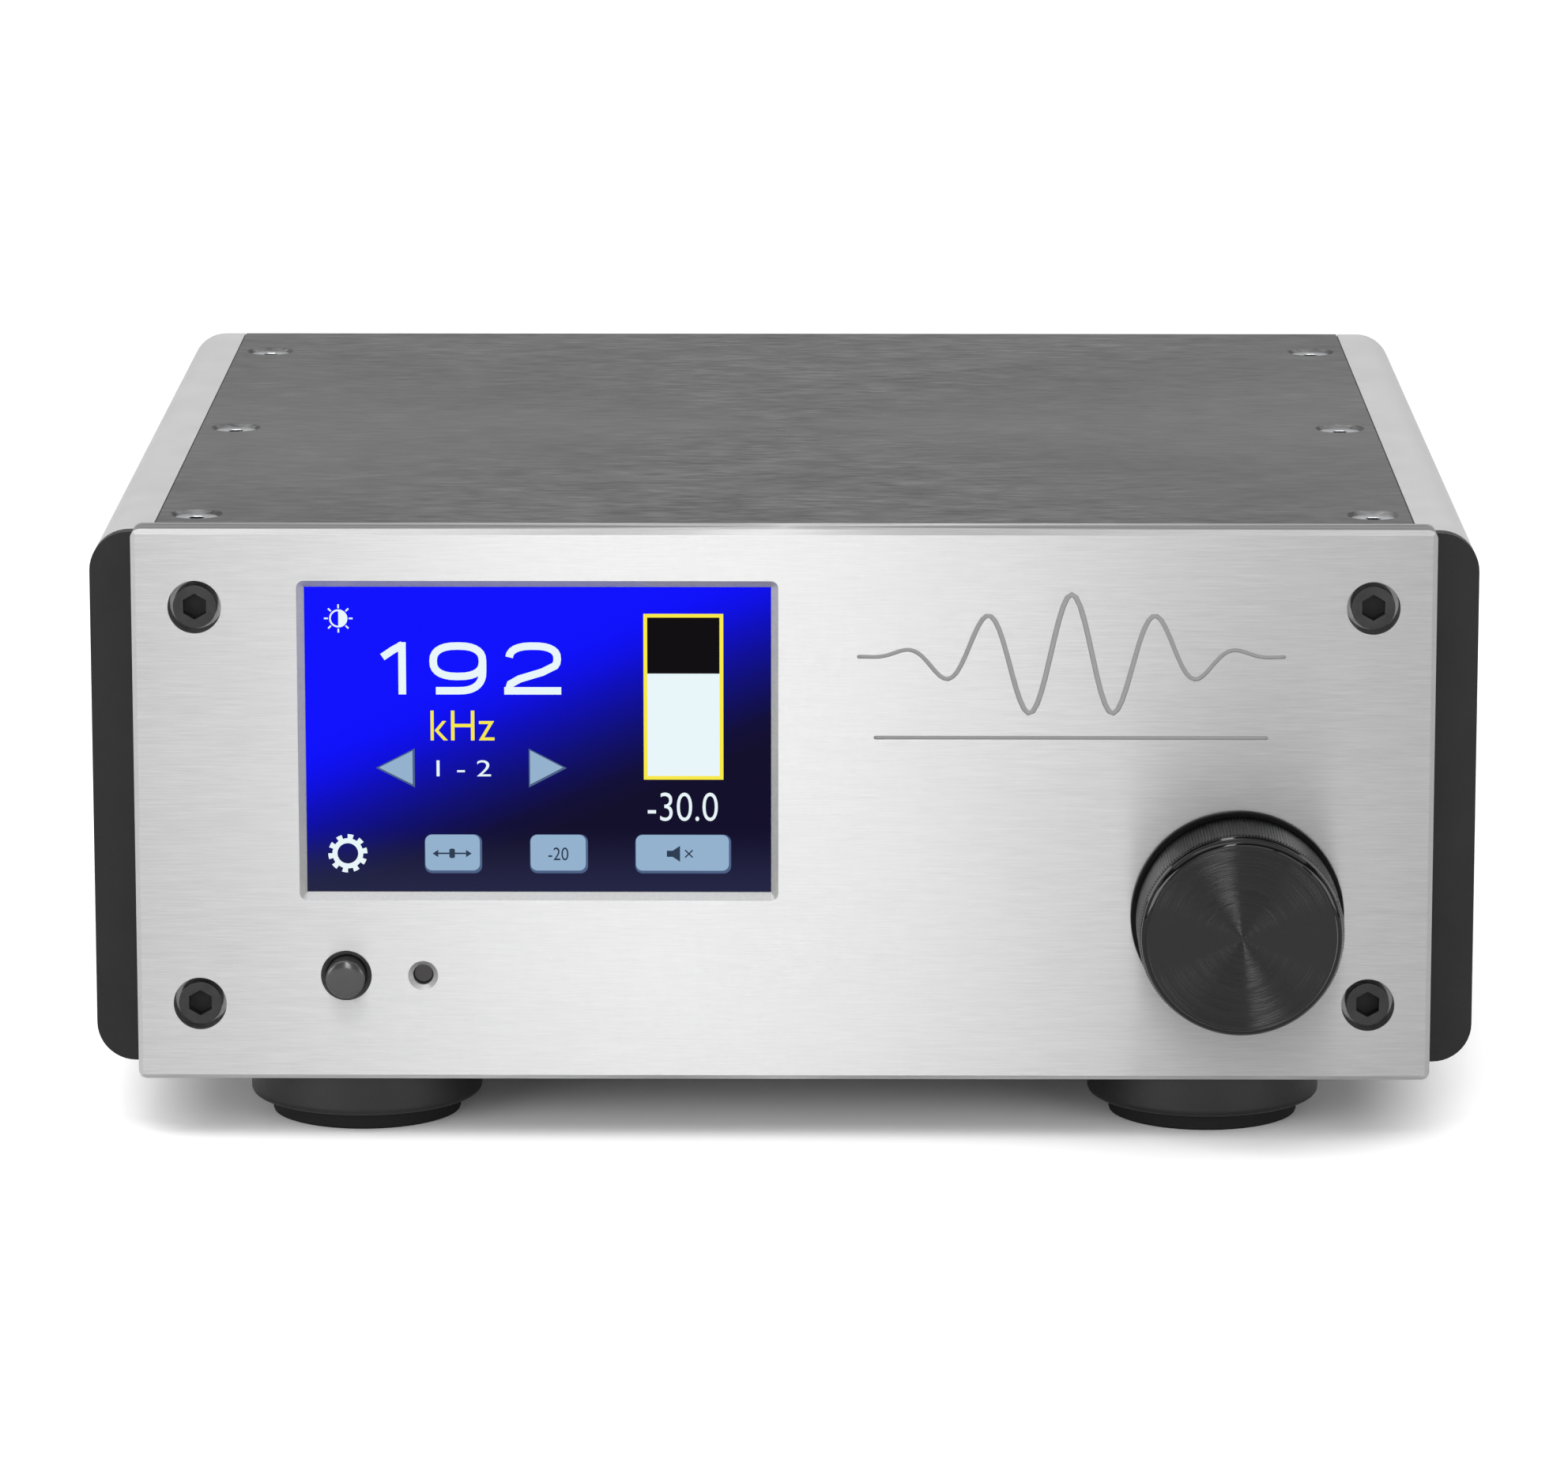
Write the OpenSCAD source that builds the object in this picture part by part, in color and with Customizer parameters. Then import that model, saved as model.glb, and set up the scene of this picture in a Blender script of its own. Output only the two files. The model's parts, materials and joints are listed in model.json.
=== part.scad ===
// Half-width desktop audio converter and preamplifier with a touch screen.
// Millimetres. +X is to the right of someone facing the front, +Y is towards
// the back and +Z is up. The origin is on the table, under the middle of the
// whole object's box. Most modules are drawn with y = 0 on the front plate's
// face, and in_frame() moves them into place.

/* [Case] */
// Overall width across the two side rails
case_w = 219.7; // [200:0.1:270]
// Height of the side rails
rail_h = 85.8; // [80:0.1:110]
// Length of the side rails, front to back
rail_len = 205; // [170:0.5:260]
// Radius of the rails' outer long edges
rail_corner_r = 6.2; // [3:0.1:8]
// Thickness of the rails' outer wall
rail_wall = 3; // [2:0.1:4]
// Width of the rail that shows beside each cover
rail_land = 9.7; // [8:0.1:12]
// Thickness of the top cover
cover_t = 3; // [2.8:0.1:4]
// Thickness of the base plate
base_t = 2.5; // [2.4:0.1:4]
// Thickness of the black sub-panel behind the front plate
sub_t = 3; // [2:0.1:4]
// Thickness of the rear panel
rear_t = 2.5; // [2:0.1:4]
// How far the rear panel stays inside the rails' outline
rear_inset = 0.8; // [0.5:0.1:2]
// Gap between a cover and the rails beside it
cover_gap = 0.15; // [0.1:0.05:0.5]

/* [Front plate] */
// Width of the front plate
plate_w = 205.6; // [190:0.1:250]
// Height of the front plate
plate_h = 88.9; // [84:0.1:115]
// Thickness of the front plate
plate_t = 6.35; // [6:0.05:8]
// How far the plate reaches below the rails
plate_drop = 1.6; // [0.5:0.1:3]
// Chamfer round the plate's front edge
plate_chamfer = 0.8; // [0.3:0.1:1.5]
// Radius of the plate's four corners
plate_corner_r = 1.5; // [1:0.1:4]
// Distance of the corner screws from the plate's left and right ends
screw_inset_x = 10; // [8:0.1:14]
// Distance of the corner screws from the plate's top and bottom edges
screw_inset_z = 12.4; // [11:0.1:14]
// Diameter of the corner screws' counterbores
counterbore_d = 8.45; // [8:0.05:10]
// Depth of the corner screws' counterbores
counterbore_depth = 4.6; // [4.3:0.05:5]

/* [Screen] */
// Width of the window
window_w = 73.6; // [60:0.1:90]
// Height of the window
window_h = 49.2; // [40:0.1:55]
// Width of the bevel round the window
window_bevel = 1.15; // [0.5:0.05:1.4]
// Distance from the plate's left end to the window's middle
window_from_left = 64; // [55:0.1:80]
// Distance from the plate's top edge to the window's middle
window_from_top = 33.9; // [30:0.1:45]
// Width and height of the display module
module_w = 79; // [75:0.1:79]
module_h = 55.4; // [45:0.1:60]

/* [Knob and button] */
// Diameter of the volume knob's flange
knob_d = 33.8; // [24:0.1:40]
// Length of the volume knob
knob_len = 17.5; // [12:0.5:24]
// Gap between the knob and the plate
knob_gap = 1; // [0.5:0.1:2]
// Distance from the plate's right end to the knob's axis
knob_from_right = 31; // [28:0.1:45]
// Height of the knob's axis above the plate's bottom edge
knob_from_bottom = 27.4; // [22:0.1:45]
// Diameter of the encoder's shaft
shaft_d = 6; // [5:0.5:6.5]
// Diameter of the power button
button_d = 6.2; // [5:0.1:9]
// How far the power button stands out of the plate
button_reach = 3.2; // [1.5:0.1:5]
// How far the power button travels
button_travel = 0.8; // [0.4:0.1:1.2]
// Distance from the plate's left end to the button's axis
button_from_left = 33.3; // [25:0.1:45]
// Height of the button's axis above the plate's bottom edge
button_from_bottom = 17; // [12:0.1:22]
// Distance from the button's axis to the sensor's axis
sensor_from_button = 12.2; // [10:0.1:20]
// Diameter of the sensor's hole
sensor_d = 3.25; // [2.5:0.05:5]

/* [Feet] */
// Height of the rails above the table
foot_h = 11.6; // [8:0.1:20]
// Diameter of a foot
foot_d = 37.3; // [25:0.1:45]
// Diameter of the soft pad under a foot
pad_d = 30.4; // [20:0.1:36]
// Thickness of the soft pad under a foot
pad_h = 2.9; // [2:0.1:4]
// Distance of the feet from the case's left and right sides
foot_inset_x = 42.15; // [35:0.05:60]
// Distance of the front feet's axes behind the sub-panel's front face
foot_front_inset = 15.8; // [15.8:0.1:45]
// Distance of the rear feet's axes in front of the rear panel
foot_rear_inset = 21.5; // [19:0.5:45]

/* [Engraving] */
// Width of the engraved wave at its tallest crest
engraving_w = 0.85; // [0.6:0.05:1.4]
// Width of the engraved line under the wave, and of the wave at its ends
engraving_end_w = 0.6; // [0.4:0.05:0.9]
// Depth of the engraved line
engraving_depth = 0.35; // [0.2:0.05:0.6]
// Height of the engraved wave's tallest crest above its middle line
wave_height = 10; // [4:0.1:12]
// Length of the engraved wave
wave_len = 67; // [40:1:80]
// Number of whole cycles in the engraved wave
wave_cycles = 5; // [3:1:7]

/* [Rear sockets] */
// Distance between neighbouring three-pin sockets
xlr_pitch = 30; // [28:0.5:34]
// Travel of an input socket's release tab
latch_travel = 1.5; // [0.8:0.1:2]
// How far the fuse drawer pulls out
drawer_travel = 20; // [10:0.5:22]
// Length of a phono jack outside the rear panel
rca_reach = 9.6; // [8:0.1:12]
// Outer diameter of a phono jack's shell
rca_d = 8.3; // [8.2:0.05:8.4]

/* [Fits] */
// Radial clearance between a screw or pin and its hole
fit = 0.1; // [0.05:0.01:0.2]
// Radial clearance of the turning shaft
running_fit = 0.05; // [0.02:0.01:0.1]
// Clearance beside pieces that slide
slide_fit = 0.2; // [0.1:0.05:0.3]

/* [Hidden] */
$fn = 64;
eps = 0.01;

// Stack from the front plate's face to the back
y_sub = plate_t;
y_rail = y_sub + sub_t;
y_rear = y_rail + rail_len;
y_back = y_rear + rear_t;
knob_reach = knob_gap + knob_len;
y_face = knob_reach - (knob_reach + y_back + rca_reach) / 2;

// Heights
z_rail = foot_h;
z_top = z_rail + rail_h;
z_mid = z_rail + rail_h / 2;
z_floor = z_rail + base_t;
z_ceiling = z_top - cover_t;
plate_z = z_rail - plate_drop;
plate_top = plate_z + plate_h;

// Corner screws: a steel cap screw through the plate and sub-panel into the rail's port
corner_x = plate_w / 2 - screw_inset_x;
corner_zs = [plate_z + screw_inset_z, plate_top - screw_inset_z];
cap_screw_d = 4.1;
cap_head_d = 6.85;
cap_head_h = 4.15;
cap_hex = 3.57;
port_r = cap_screw_d / 2 + fit;
port_depth = 14;

// Cover screws: countersunk, sunk a little below the surface
flat_screw_d = 3.4;
flat_head_d = 7.2;
flat_sink = 0.55;
flat_hex = 2.4;
flat_grip = 5;
cover_screw_x = case_w / 2 - rail_land - 6.1;
cover_screw_inset = 13.5;
cover_screw_ys = [y_rail + cover_screw_inset,
                  (y_rail + y_rear) / 2 - 4,
                  y_rear - cover_screw_inset - 8];

// Rails: an outer wall with a screw block at the top and at the bottom
rail_block_x = corner_x - 5.5;
rail_block_up = corner_zs[1] - 5.2;
rail_block_low = corner_zs[0] + 5.2;

// Screen stack behind the window
window_x = -plate_w / 2 + window_from_left;
window_z = plate_top - window_from_top;
window_lip = 1.7;
module_gap = 0.4;
module_wall = 2;
glass_t = 1.5;
layer_gap = 0.05;
y_glass = window_lip + layer_gap;
y_module = y_glass + glass_t + layer_gap;

// Encoder, behind the sub-panel
knob_x = plate_w / 2 - knob_from_right;
knob_z = plate_z + knob_from_bottom;
bushing_wall = 0.55;
bushing_r = shaft_d / 2 + running_fit + bushing_wall;
encoder_side = 12.6;
encoder_t = 7;
nut_t = 2;
nut_side = 10;
nut_pocket_d = 13;
nut_pocket_depth = 3.3;
shaft_hole_d = shaft_d + 2;
knob_hub_d = shaft_d + 7;
knob_wall = 3.2;
knob_cap_t = 7;
knob_chamfer = 1.5;
knob_flange_t = 1.5;
knob_flange_step = 0.75;
knob_groove_w = 0.8;
knob_groove_depth = 1.5;
knob_rim_step = 1.1;
set_screw_d = 3;
set_screw_len = 4;
set_screw_back = 4.2;
set_screw_hex_r = 0.85;

// Front board, behind the encoder
board_t = 1.6;
y_board = y_rail + encoder_t;
front_board_w = 2 * rail_block_x - 4;
front_board_z0 = z_floor + 3;
front_board_z1 = z_ceiling - 3;
front_hole_inset = 3.5;

// Button and sensor
button_x = -plate_w / 2 + button_from_left;
button_z = plate_z + button_from_bottom;
button_hole_d = button_d + 2 * slide_fit;
button_rim = 0.75;
button_flange_d = button_d + 3;
button_flange_t = 1;
button_flange_gap = 0.3;
button_pocket_depth = 2.6;
button_stem_d = 3.2;
button_edge = 0.4;
switch_side = 6;
switch_h = 3.8;
switch_rest = 0.8;
switch_slack = 0.3;
sensor_x = button_x + sensor_from_button;
sensor_rim = 0.77;
sensor_lens_depth = 1.9;
receiver_w = 5.4;
receiver_h = 6.4;
receiver_t = 4.8;

// Boards on the base
standoff_h = 8;
standoff_d = 6;
spigot_r = 2;
spigot_sink = 0.2;
board_screw_d = 2.8;
board_screw_head_d = 5.4;
board_screw_head_h = 1.8;
board_screw_grip = 4.5;
board_screw_hex_r = 1.2;
board_hole_r = board_screw_d / 2 + fit;
hole_inset = 5;
board_edge = 4;
board_gap = 2;
main_x0 = -22;
main_x1 = rail_block_x - board_gap;
main_y0 = y_board + 16;
main_y1 = y_rear - board_gap;
main_hole_back = 33;
main_mid = (main_x0 + main_x1) / 2;
power_x0 = -rail_block_x + board_gap;
power_x1 = main_x0 - 2 * board_gap;
power_mid = (power_x0 + power_x1) / 2;
power_y1 = y_rear - 34;
power_len = 66;
power_y0 = power_y1 - power_len;
z_boards = z_floor + standoff_h;
z_parts = z_boards + board_t;

// Toroidal transformer
toroid_d = 50;
toroid_h = 25;
toroid_hole_d = 15;
toroid_round = 4;
toroid_x = power_mid;
toroid_y = power_y0 - toroid_d / 2 - 5;
toroid_bolt_r = 2.5;
toroid_washer_r = 18;
toroid_washer_t = 1.2;

// Three-pin sockets: depths are from the rear panel's outside face
xlr_flange_w = 26;
xlr_flange_h = 31;
xlr_flange_t = 2.2;
xlr_flange_r = 2;
xlr_core_step = 0.8;
xlr_body_d = 23.4;
xlr_depth = 20;
xlr_recess_d = 19;
xlr_recess_depth = 14;
xlr_core_wall = 1.7;
xlr_pin_d = 2.4;
xlr_pin_ring = 4.6;
xlr_pin_tail = 3;
xlr_contact_depth = 10;
xlr_screw_x = 9.5;
xlr_screw_z = 12;
xlr_z = z_top - 20.5;
xlr_first_x = rail_block_x - xlr_body_d / 2 - 0.5;
xlr_in_xs = [xlr_first_x, xlr_first_x - xlr_pitch];
xlr_out_xs = [xlr_first_x - 2.3 * xlr_pitch, xlr_first_x - 3.3 * xlr_pitch];
screw_sink = 0.1;
latch_w = 7;
latch_h = 3;
latch_z = 12.4;
latch_reach = 1.8;
latch_depth = 6;

// Mains inlet with a fuse drawer
inlet_flange_w = 50;
inlet_flange_h = 31;
inlet_flange_t = 3;
inlet_flange_r = 3;
inlet_body_w = 28;
inlet_body_h = 29;
inlet_depth = 26;
inlet_screw_x = 20;
inlet_screw_hex = 1.8;
inlet_x = -(rail_block_x - 1 - inlet_flange_w / 2);
inlet_z = z_rail + 26;
socket_w = 24.5;
socket_h = 16.3;
socket_depth = 17;
socket_z = 4.6;
socket_cut = 4.5;
mains_pin_w = 2;
mains_pin_h = 4;
mains_pin_tail = 5;
mains_pin_short = 2;
mains_pin_places = [[-7, -1], [0, 3], [7, -1]];
drawer_w = 23;
drawer_h = 6.6;
drawer_z = -9;
drawer_len = 22;
drawer_lip = 1.4;
drawer_lip_w = 24.6;
drawer_lip_h = 7.8;
drawer_lip_drop = 0.4;
drawer_lip_r = 1;
fuse_d = 5;
fuse_len = 20;
fuse_cap = 5;
fuse_glass_d = 4.4;
fuse_back = 5.2;
fuse_drop = 0.25;
y_drawer = y_back + inlet_flange_t - drawer_len;
y_tags = y_back - inlet_depth - mains_pin_tail;
y_fuse = y_drawer + fuse_back;
z_fuse = inlet_z + drawer_z - fuse_drop;

// Lower row of sockets, standing on the main board
usb_w = 12;
usb_h = 10.9;
usb_depth = 15;
usb_reach = 0.6;
usb_mouth = 9;
usb_hole_w = 8.6;
usb_hole_h = 7.8;
usb_hole_cut = 1.7;
usb_tongue_w = 5.6;
usb_tongue_h = 3.2;
low_row_z = z_parts + usb_h / 2;
rca_pitch = 17;
rca_first_x = rail_block_x - 7.5;
rca_xs = [for (i = [0:4]) rca_first_x - i * rca_pitch];
rca_bore_d = 3.4;
rca_shell_wall = 1.2;
rca_washer_d = 11;
rca_washer_t = 1.6;
rca_neck_step = 0.4;
rca_depth = 7;
rca_core_step = 0.6;
rca_housing_w = 12;
rca_housing_len = 13;
usb_x = rca_xs[4] - 21;
panel_screw_d = 2.8;
panel_head_d = 5.2;

// ---- Shapes that repeat ----

module in_frame() {
    translate([0, y_face, 0]) children();
}

// Stands a flat outline up: its x stays, its y becomes height, from depth y0 to y0 + t
module slab(y0, t) {
    translate([0, y0 + t, 0]) rotate([90, 0, 0]) linear_extrude(t) children();
}

// A round bar along +Y from depth y0
module rod(x, z, y0, len, r) {
    translate([x, y0, z]) rotate([-90, 0, 0]) cylinder(h = len, r = r);
}

// A cone along +Y, from radius r1 at depth y0 to radius r2
module taper(x, z, y0, len, r1, r2) {
    translate([x, y0, z]) rotate([-90, 0, 0]) cylinder(h = len, r1 = r1, r2 = r2);
}

module rounded_rect(w, h, r) {
    square([w - 2 * r, h], center = true);
    square([w, h - 2 * r], center = true);
    for (x = [-1, 1], z = [-1, 1])
        translate([x * (w / 2 - r), z * (h / 2 - r)]) circle(r);
}

module block(x0, x1, y0, y1, z0, z1) {
    translate([x0, y0, z0]) cube([x1 - x0, y1 - y0, z1 - z0]);
}

// A four-sided frustum along +Y, w0 by h0 at depth y0 and w1 by h1 at depth y1
module frustum(x, z, y0, y1, w0, h0, w1, h1) translate([x, 0, z]) intersection() {
    h = max(h0, h1) + 1;
    w = max(w0, w1) + 1;
    translate([0, 0, -h / 2]) linear_extrude(h)
        polygon([[-w0 / 2, y0], [w0 / 2, y0], [w1 / 2, y1], [-w1 / 2, y1]]);
    translate([-w / 2, 0, 0]) rotate([90, 0, 90]) linear_extrude(w)
        polygon([[y0, -h0 / 2], [y1, -h1 / 2], [y1, h1 / 2], [y0, h0 / 2]]);
}

// A cap screw along +Y whose head's top is at the origin
module cap_screw(grip) {
    difference() {
        union() {
            rod(0, 0, 0, cap_head_h, cap_head_d / 2);
            rod(0, 0, cap_head_h - eps, grip + eps, cap_screw_d / 2);
        }
        rotate([-90, 30, 0]) translate([0, 0, -1])
            cylinder(h = 1 + cap_head_h * 0.55, r = cap_hex / sqrt(3), $fn = 6);
    }
}

// A countersunk screw along +Z whose flat head is at the origin, facing -Z
module flat_screw(d, head_d, grip, hex) {
    head_h = (head_d - d) / 2;
    difference() {
        union() {
            cylinder(h = head_h, r1 = head_d / 2, r2 = d / 2);
            translate([0, 0, head_h - eps]) cylinder(h = grip + eps, r = d / 2);
        }
        translate([0, 0, -1]) cylinder(h = 1 + head_h * 0.8, r = hex / sqrt(3), $fn = 6);
    }
}

// The hole for such a screw in a plate whose face is at the origin, with its head sunk
module flat_screw_hole(d, head_d, sink, depth) {
    r_face = head_d / 2 + sink + fit;
    r_hole = d / 2 + fit;
    translate([0, 0, -eps]) cylinder(h = depth + 2 * eps, r = r_hole);
    translate([0, 0, -eps]) cylinder(h = r_face - r_hole + eps, r1 = r_face + eps, r2 = r_hole);
}

// A tube with a given radius along a list of points
function unit(v) = v / norm(v);
function tube_dir(path, i) =
    let (a = max(i - 1, 0), b = min(i + 1, len(path) - 1)) unit(path[b] - path[a]);
function tube_ring(path, i, r, sides) =
    let (d = tube_dir(path, i),
         u = unit(cross(d, abs(d[2]) < 0.9 ? [0, 0, 1] : [1, 0, 0])),
         v = cross(d, u))
    [for (k = [0:sides - 1])
        path[i] + r * (cos(360 * k / sides) * u + sin(360 * k / sides) * v)];
module tube(path, r, sides = 8) {
    n = len(path);
    points = [for (i = [0:n - 1]) each tube_ring(path, i, r, sides)];
    walls = [for (i = [0:n - 2], k = [0:sides - 1])
        let (j = (k + 1) % sides)
        each [[i * sides + k, i * sides + j, (i + 1) * sides + j],
              [i * sides + k, (i + 1) * sides + j, (i + 1) * sides + k]]];
    first = [[for (k = [0:sides - 1]) sides - 1 - k]];
    last = [[for (k = [0:sides - 1]) (n - 1) * sides + k]];
    polyhedron(points, concat(walls, first, last));
}

// ---- Front ----

// The engraved wave: an oscillation inside a smooth bell, sampled along x. The line is no wider
// than its tightest crest allows, so its inner side never folds over itself
wave_left_of_knob = 26.5;
wave_from_top = 20.2;
underline_below_wave = 13;
underline_share = 0.92;
wave_x = knob_x - wave_left_of_knob;
wave_z = plate_top - wave_from_top;
underline_z = wave_z - underline_below_wave;
wave_steps = wave_cycles * 20;
function wave_bell(t) = pow(cos(180 * (t - 0.5)), 2);
function wave_at(t) = wave_height * wave_bell(t) * cos(360 * wave_cycles * (t - 0.5));
crest_r = pow(wave_len / (2 * PI * wave_cycles), 2) / wave_height;
crest_share = 0.95;
wave_top_w = min(engraving_w, 2 * crest_r * crest_share);
wave_end_w = min(engraving_end_w, wave_top_w);
function wave_w(t) = wave_end_w + (wave_top_w - wave_end_w) * wave_bell(t);
function wave_point(t) = [wave_x + wave_len * (t - 0.5), wave_z + wave_at(t)];
function wave_side(t, side) =
    let (d = unit(wave_point(t + 0.002) - wave_point(t - 0.002)))
    wave_point(t) + side * wave_w(t) / 2 * [-d[1], d[0]];

// The round end of the line at t, which points to the right when side is 1
function wave_cap(t, side) =
    [for (a = [30:30:150]) wave_point(t) + side * wave_w(t) / 2 * [sin(a), cos(a)]];

module engraving() {
    ts = [for (i = [0:wave_steps]) i / wave_steps];
    slab(-1, 1 + engraving_depth)
        polygon(concat([for (t = ts) wave_side(t, 1)], wave_cap(1, 1),
                       [for (i = [len(ts) - 1:-1:0]) wave_side(ts[i], -1)], wave_cap(0, -1)));
    slab(-1, 1 + engraving_depth)
        translate([wave_x, underline_z]) {
            square([wave_len * underline_share, engraving_end_w], center = true);
            for (x = [-0.5, 0.5])
                translate([x * wave_len * underline_share, 0]) circle(engraving_end_w / 2);
        }
}

module plate_outline() {
    translate([0, plate_z + plate_h / 2]) rounded_rect(plate_w, plate_h, plate_corner_r);
}

// The window's bevel: square inside, with rounded corners outside
module window_rim() {
    wide = 2 * (window_bevel + eps);
    frustum(window_x, window_z, -eps, window_bevel, window_w + wide, window_h, window_w, window_h);
    frustum(window_x, window_z, -eps, window_bevel, window_w, window_h + wide, window_w, window_h);
    for (x = [-1, 1], z = [-1, 1])
        taper(window_x + x * (window_w / 2 - eps), window_z + z * (window_h / 2 - eps),
              -eps, window_bevel + eps, window_bevel + eps, eps / 2);
}

module front_plate() in_frame() color("gainsboro") difference() {
    union() {
        slab(plate_chamfer, plate_t - plate_chamfer) plate_outline();
        intersection() {
            slab(0, plate_chamfer + eps) plate_outline();
            frustum(0, plate_z + plate_h / 2, 0, plate_chamfer + eps,
                    plate_w - 2 * plate_chamfer, plate_h - 2 * plate_chamfer,
                    plate_w + 2 * eps, plate_h + 2 * eps);
        }
    }
    for (x = [-corner_x, corner_x], z = corner_zs) {
        rod(x, z, -1, 1 + counterbore_depth, counterbore_d / 2);
        rod(x, z, -1, plate_t + 2, port_r);
    }
    // Window with its bevel, and the pocket that holds the display from behind
    slab(-1, plate_t + 2) translate([window_x, window_z]) square([window_w, window_h], center = true);
    window_rim();
    slab(window_lip, plate_t) translate([window_x, window_z])
        square([module_w + 2 * module_gap, module_h + 2 * module_gap], center = true);
    // Encoder shaft and nut
    rod(knob_x, knob_z, -1, plate_t + 2, shaft_hole_d / 2);
    rod(knob_x, knob_z, plate_t - nut_pocket_depth, plate_t, nut_pocket_d / 2);
    // Power button, its rim and the pocket for its flange
    rod(button_x, button_z, -1, plate_t + 2, button_hole_d / 2);
    taper(button_x, button_z, -eps, button_rim + eps,
          button_hole_d / 2 + button_rim + eps, button_hole_d / 2);
    rod(button_x, button_z, plate_t - button_pocket_depth, plate_t, button_flange_d / 2 + slide_fit);
    // Sensor hole and its rim
    rod(sensor_x, button_z, -1, plate_t + 2, sensor_d / 2);
    taper(sensor_x, button_z, -eps, sensor_rim + eps, sensor_d / 2 + sensor_rim + eps, sensor_d / 2);
    engraving();
}

module front_plate_screws() in_frame() color("dimgray")
    for (x = [-corner_x, corner_x], z = corner_zs)
        translate([x, counterbore_depth - cap_head_h, z])
            cap_screw(plate_t + sub_t - counterbore_depth + port_depth - 3);

module rail_outline() {
    translate([0, z_mid]) rounded_rect(case_w, rail_h, rail_corner_r);
}

module front_subpanel() in_frame() color("#262626") difference() {
    slab(y_sub, sub_t) rail_outline();
    for (x = [-corner_x, corner_x], z = corner_zs)
        rod(x, z, 0, y_rail + 1, port_r);
    slab(0, y_rail + 1) translate([window_x, window_z])
        square([module_w + 2 * module_gap, module_h + 2 * module_gap], center = true);
    rod(knob_x, knob_z, 0, y_rail + 1, bushing_r + fit);
    rod(button_x, button_z, 0, y_rail + 1, button_stem_d / 2 + slide_fit);
    rod(sensor_x, button_z, 0, y_rail + 1, sensor_d / 2);
    for (x = front_board_xs, z = front_board_zs)
        rod(x, z, 0, y_rail + 1, spigot_r + fit);
}

// ---- Case ----

module side_rail_right() in_frame() color("silver") difference() {
    slab(y_rail, rail_len) difference() {
        intersection() {
            rail_outline();
            translate([rail_block_x, z_rail]) square([case_w / 2 - rail_block_x, rail_h]);
        }
        // Steps that the top cover and the base plate lie in
        translate([0, z_ceiling]) square([case_w / 2 - rail_land, cover_t + 1]);
        translate([0, z_rail - 1]) square([case_w / 2 - rail_land, base_t + 1]);
        // Hollow between the two screw blocks
        translate([0, rail_block_low]) square([case_w / 2 - rail_wall, rail_block_up - rail_block_low]);
    }
    for (z = corner_zs) {
        rod(corner_x, z, y_rail - 1, port_depth + 1, port_r);
        rod(corner_x, z, y_rear - port_depth, port_depth + 1, port_r);
    }
    for (y = cover_screw_ys) {
        translate([cover_screw_x, y, z_ceiling - flat_grip - fit])
            cylinder(h = flat_grip + 1, r = flat_screw_d / 2 + fit);
        translate([cover_screw_x, y, z_floor - 1])
            cylinder(h = flat_grip + 1 + fit, r = flat_screw_d / 2 + fit);
    }
}

module side_rail_left() mirror([1, 0, 0]) side_rail_right();

cover_half = case_w / 2 - rail_land - cover_gap;

module top_cover() in_frame() color("#4b4b4b") difference() {
    block(-cover_half, cover_half, y_rail + cover_gap, y_rear, z_ceiling, z_top);
    for (x = [-cover_screw_x, cover_screw_x], y = cover_screw_ys)
        translate([x, y, z_top]) mirror([0, 0, 1])
            flat_screw_hole(flat_screw_d, flat_head_d, flat_sink, cover_t);
}

module top_cover_screws() in_frame() color("silver")
    for (x = [-cover_screw_x, cover_screw_x], y = cover_screw_ys)
        translate([x, y, z_top - flat_sink]) mirror([0, 0, 1])
            flat_screw(flat_screw_d, flat_head_d,
                       cover_t - flat_sink + flat_grip - (flat_head_d - flat_screw_d) / 2, flat_hex);

// Feet sit in a rectangle that follows the case
foot_ys = [y_sub + foot_front_inset, y_rear - foot_rear_inset];
foot_screw_r = 2;
foot_head_r = 4;
foot_head_h = 2.4;
foot_hex_r = 1.6;
foot_web = 3.5;
foot_round = 1.2;
// The feet stay clear of the rails' screw blocks
foot_x = min(case_w / 2 - foot_inset_x, rail_block_x - foot_head_r - 1);
// A narrower neck lets the front feet reach under the front plate
foot_neck_r = 15;
foot_neck_h = plate_drop + 0.4;

module base_plate() in_frame() color("#2b2b2b") difference() {
    block(-cover_half, cover_half, y_rail + cover_gap, y_rear, z_rail, z_floor);
    for (x = [-cover_screw_x, cover_screw_x], y = cover_screw_ys)
        translate([x, y, z_rail])
            flat_screw_hole(flat_screw_d, flat_head_d, screw_sink, base_t);
    for (x = [-foot_x, foot_x], y = foot_ys)
        translate([x, y, z_rail - 1]) cylinder(h = base_t + 2, r = foot_screw_r + fit);
    for (p = concat(main_holes, power_holes))
        translate([p[0], p[1], z_rail - 1]) cylinder(h = base_t + 2, r = spigot_r + fit);
    translate([toroid_x, toroid_y, z_rail - 1]) cylinder(h = base_t + 2, r = toroid_bolt_r + fit);
}

module base_plate_screws() in_frame() color("#3a3a3a")
    for (x = [-cover_screw_x, cover_screw_x], y = cover_screw_ys)
        translate([x, y, z_rail + screw_sink])
            flat_screw(flat_screw_d, flat_head_d,
                       base_t - screw_sink + flat_grip - (flat_head_d - flat_screw_d) / 2, flat_hex);

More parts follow.
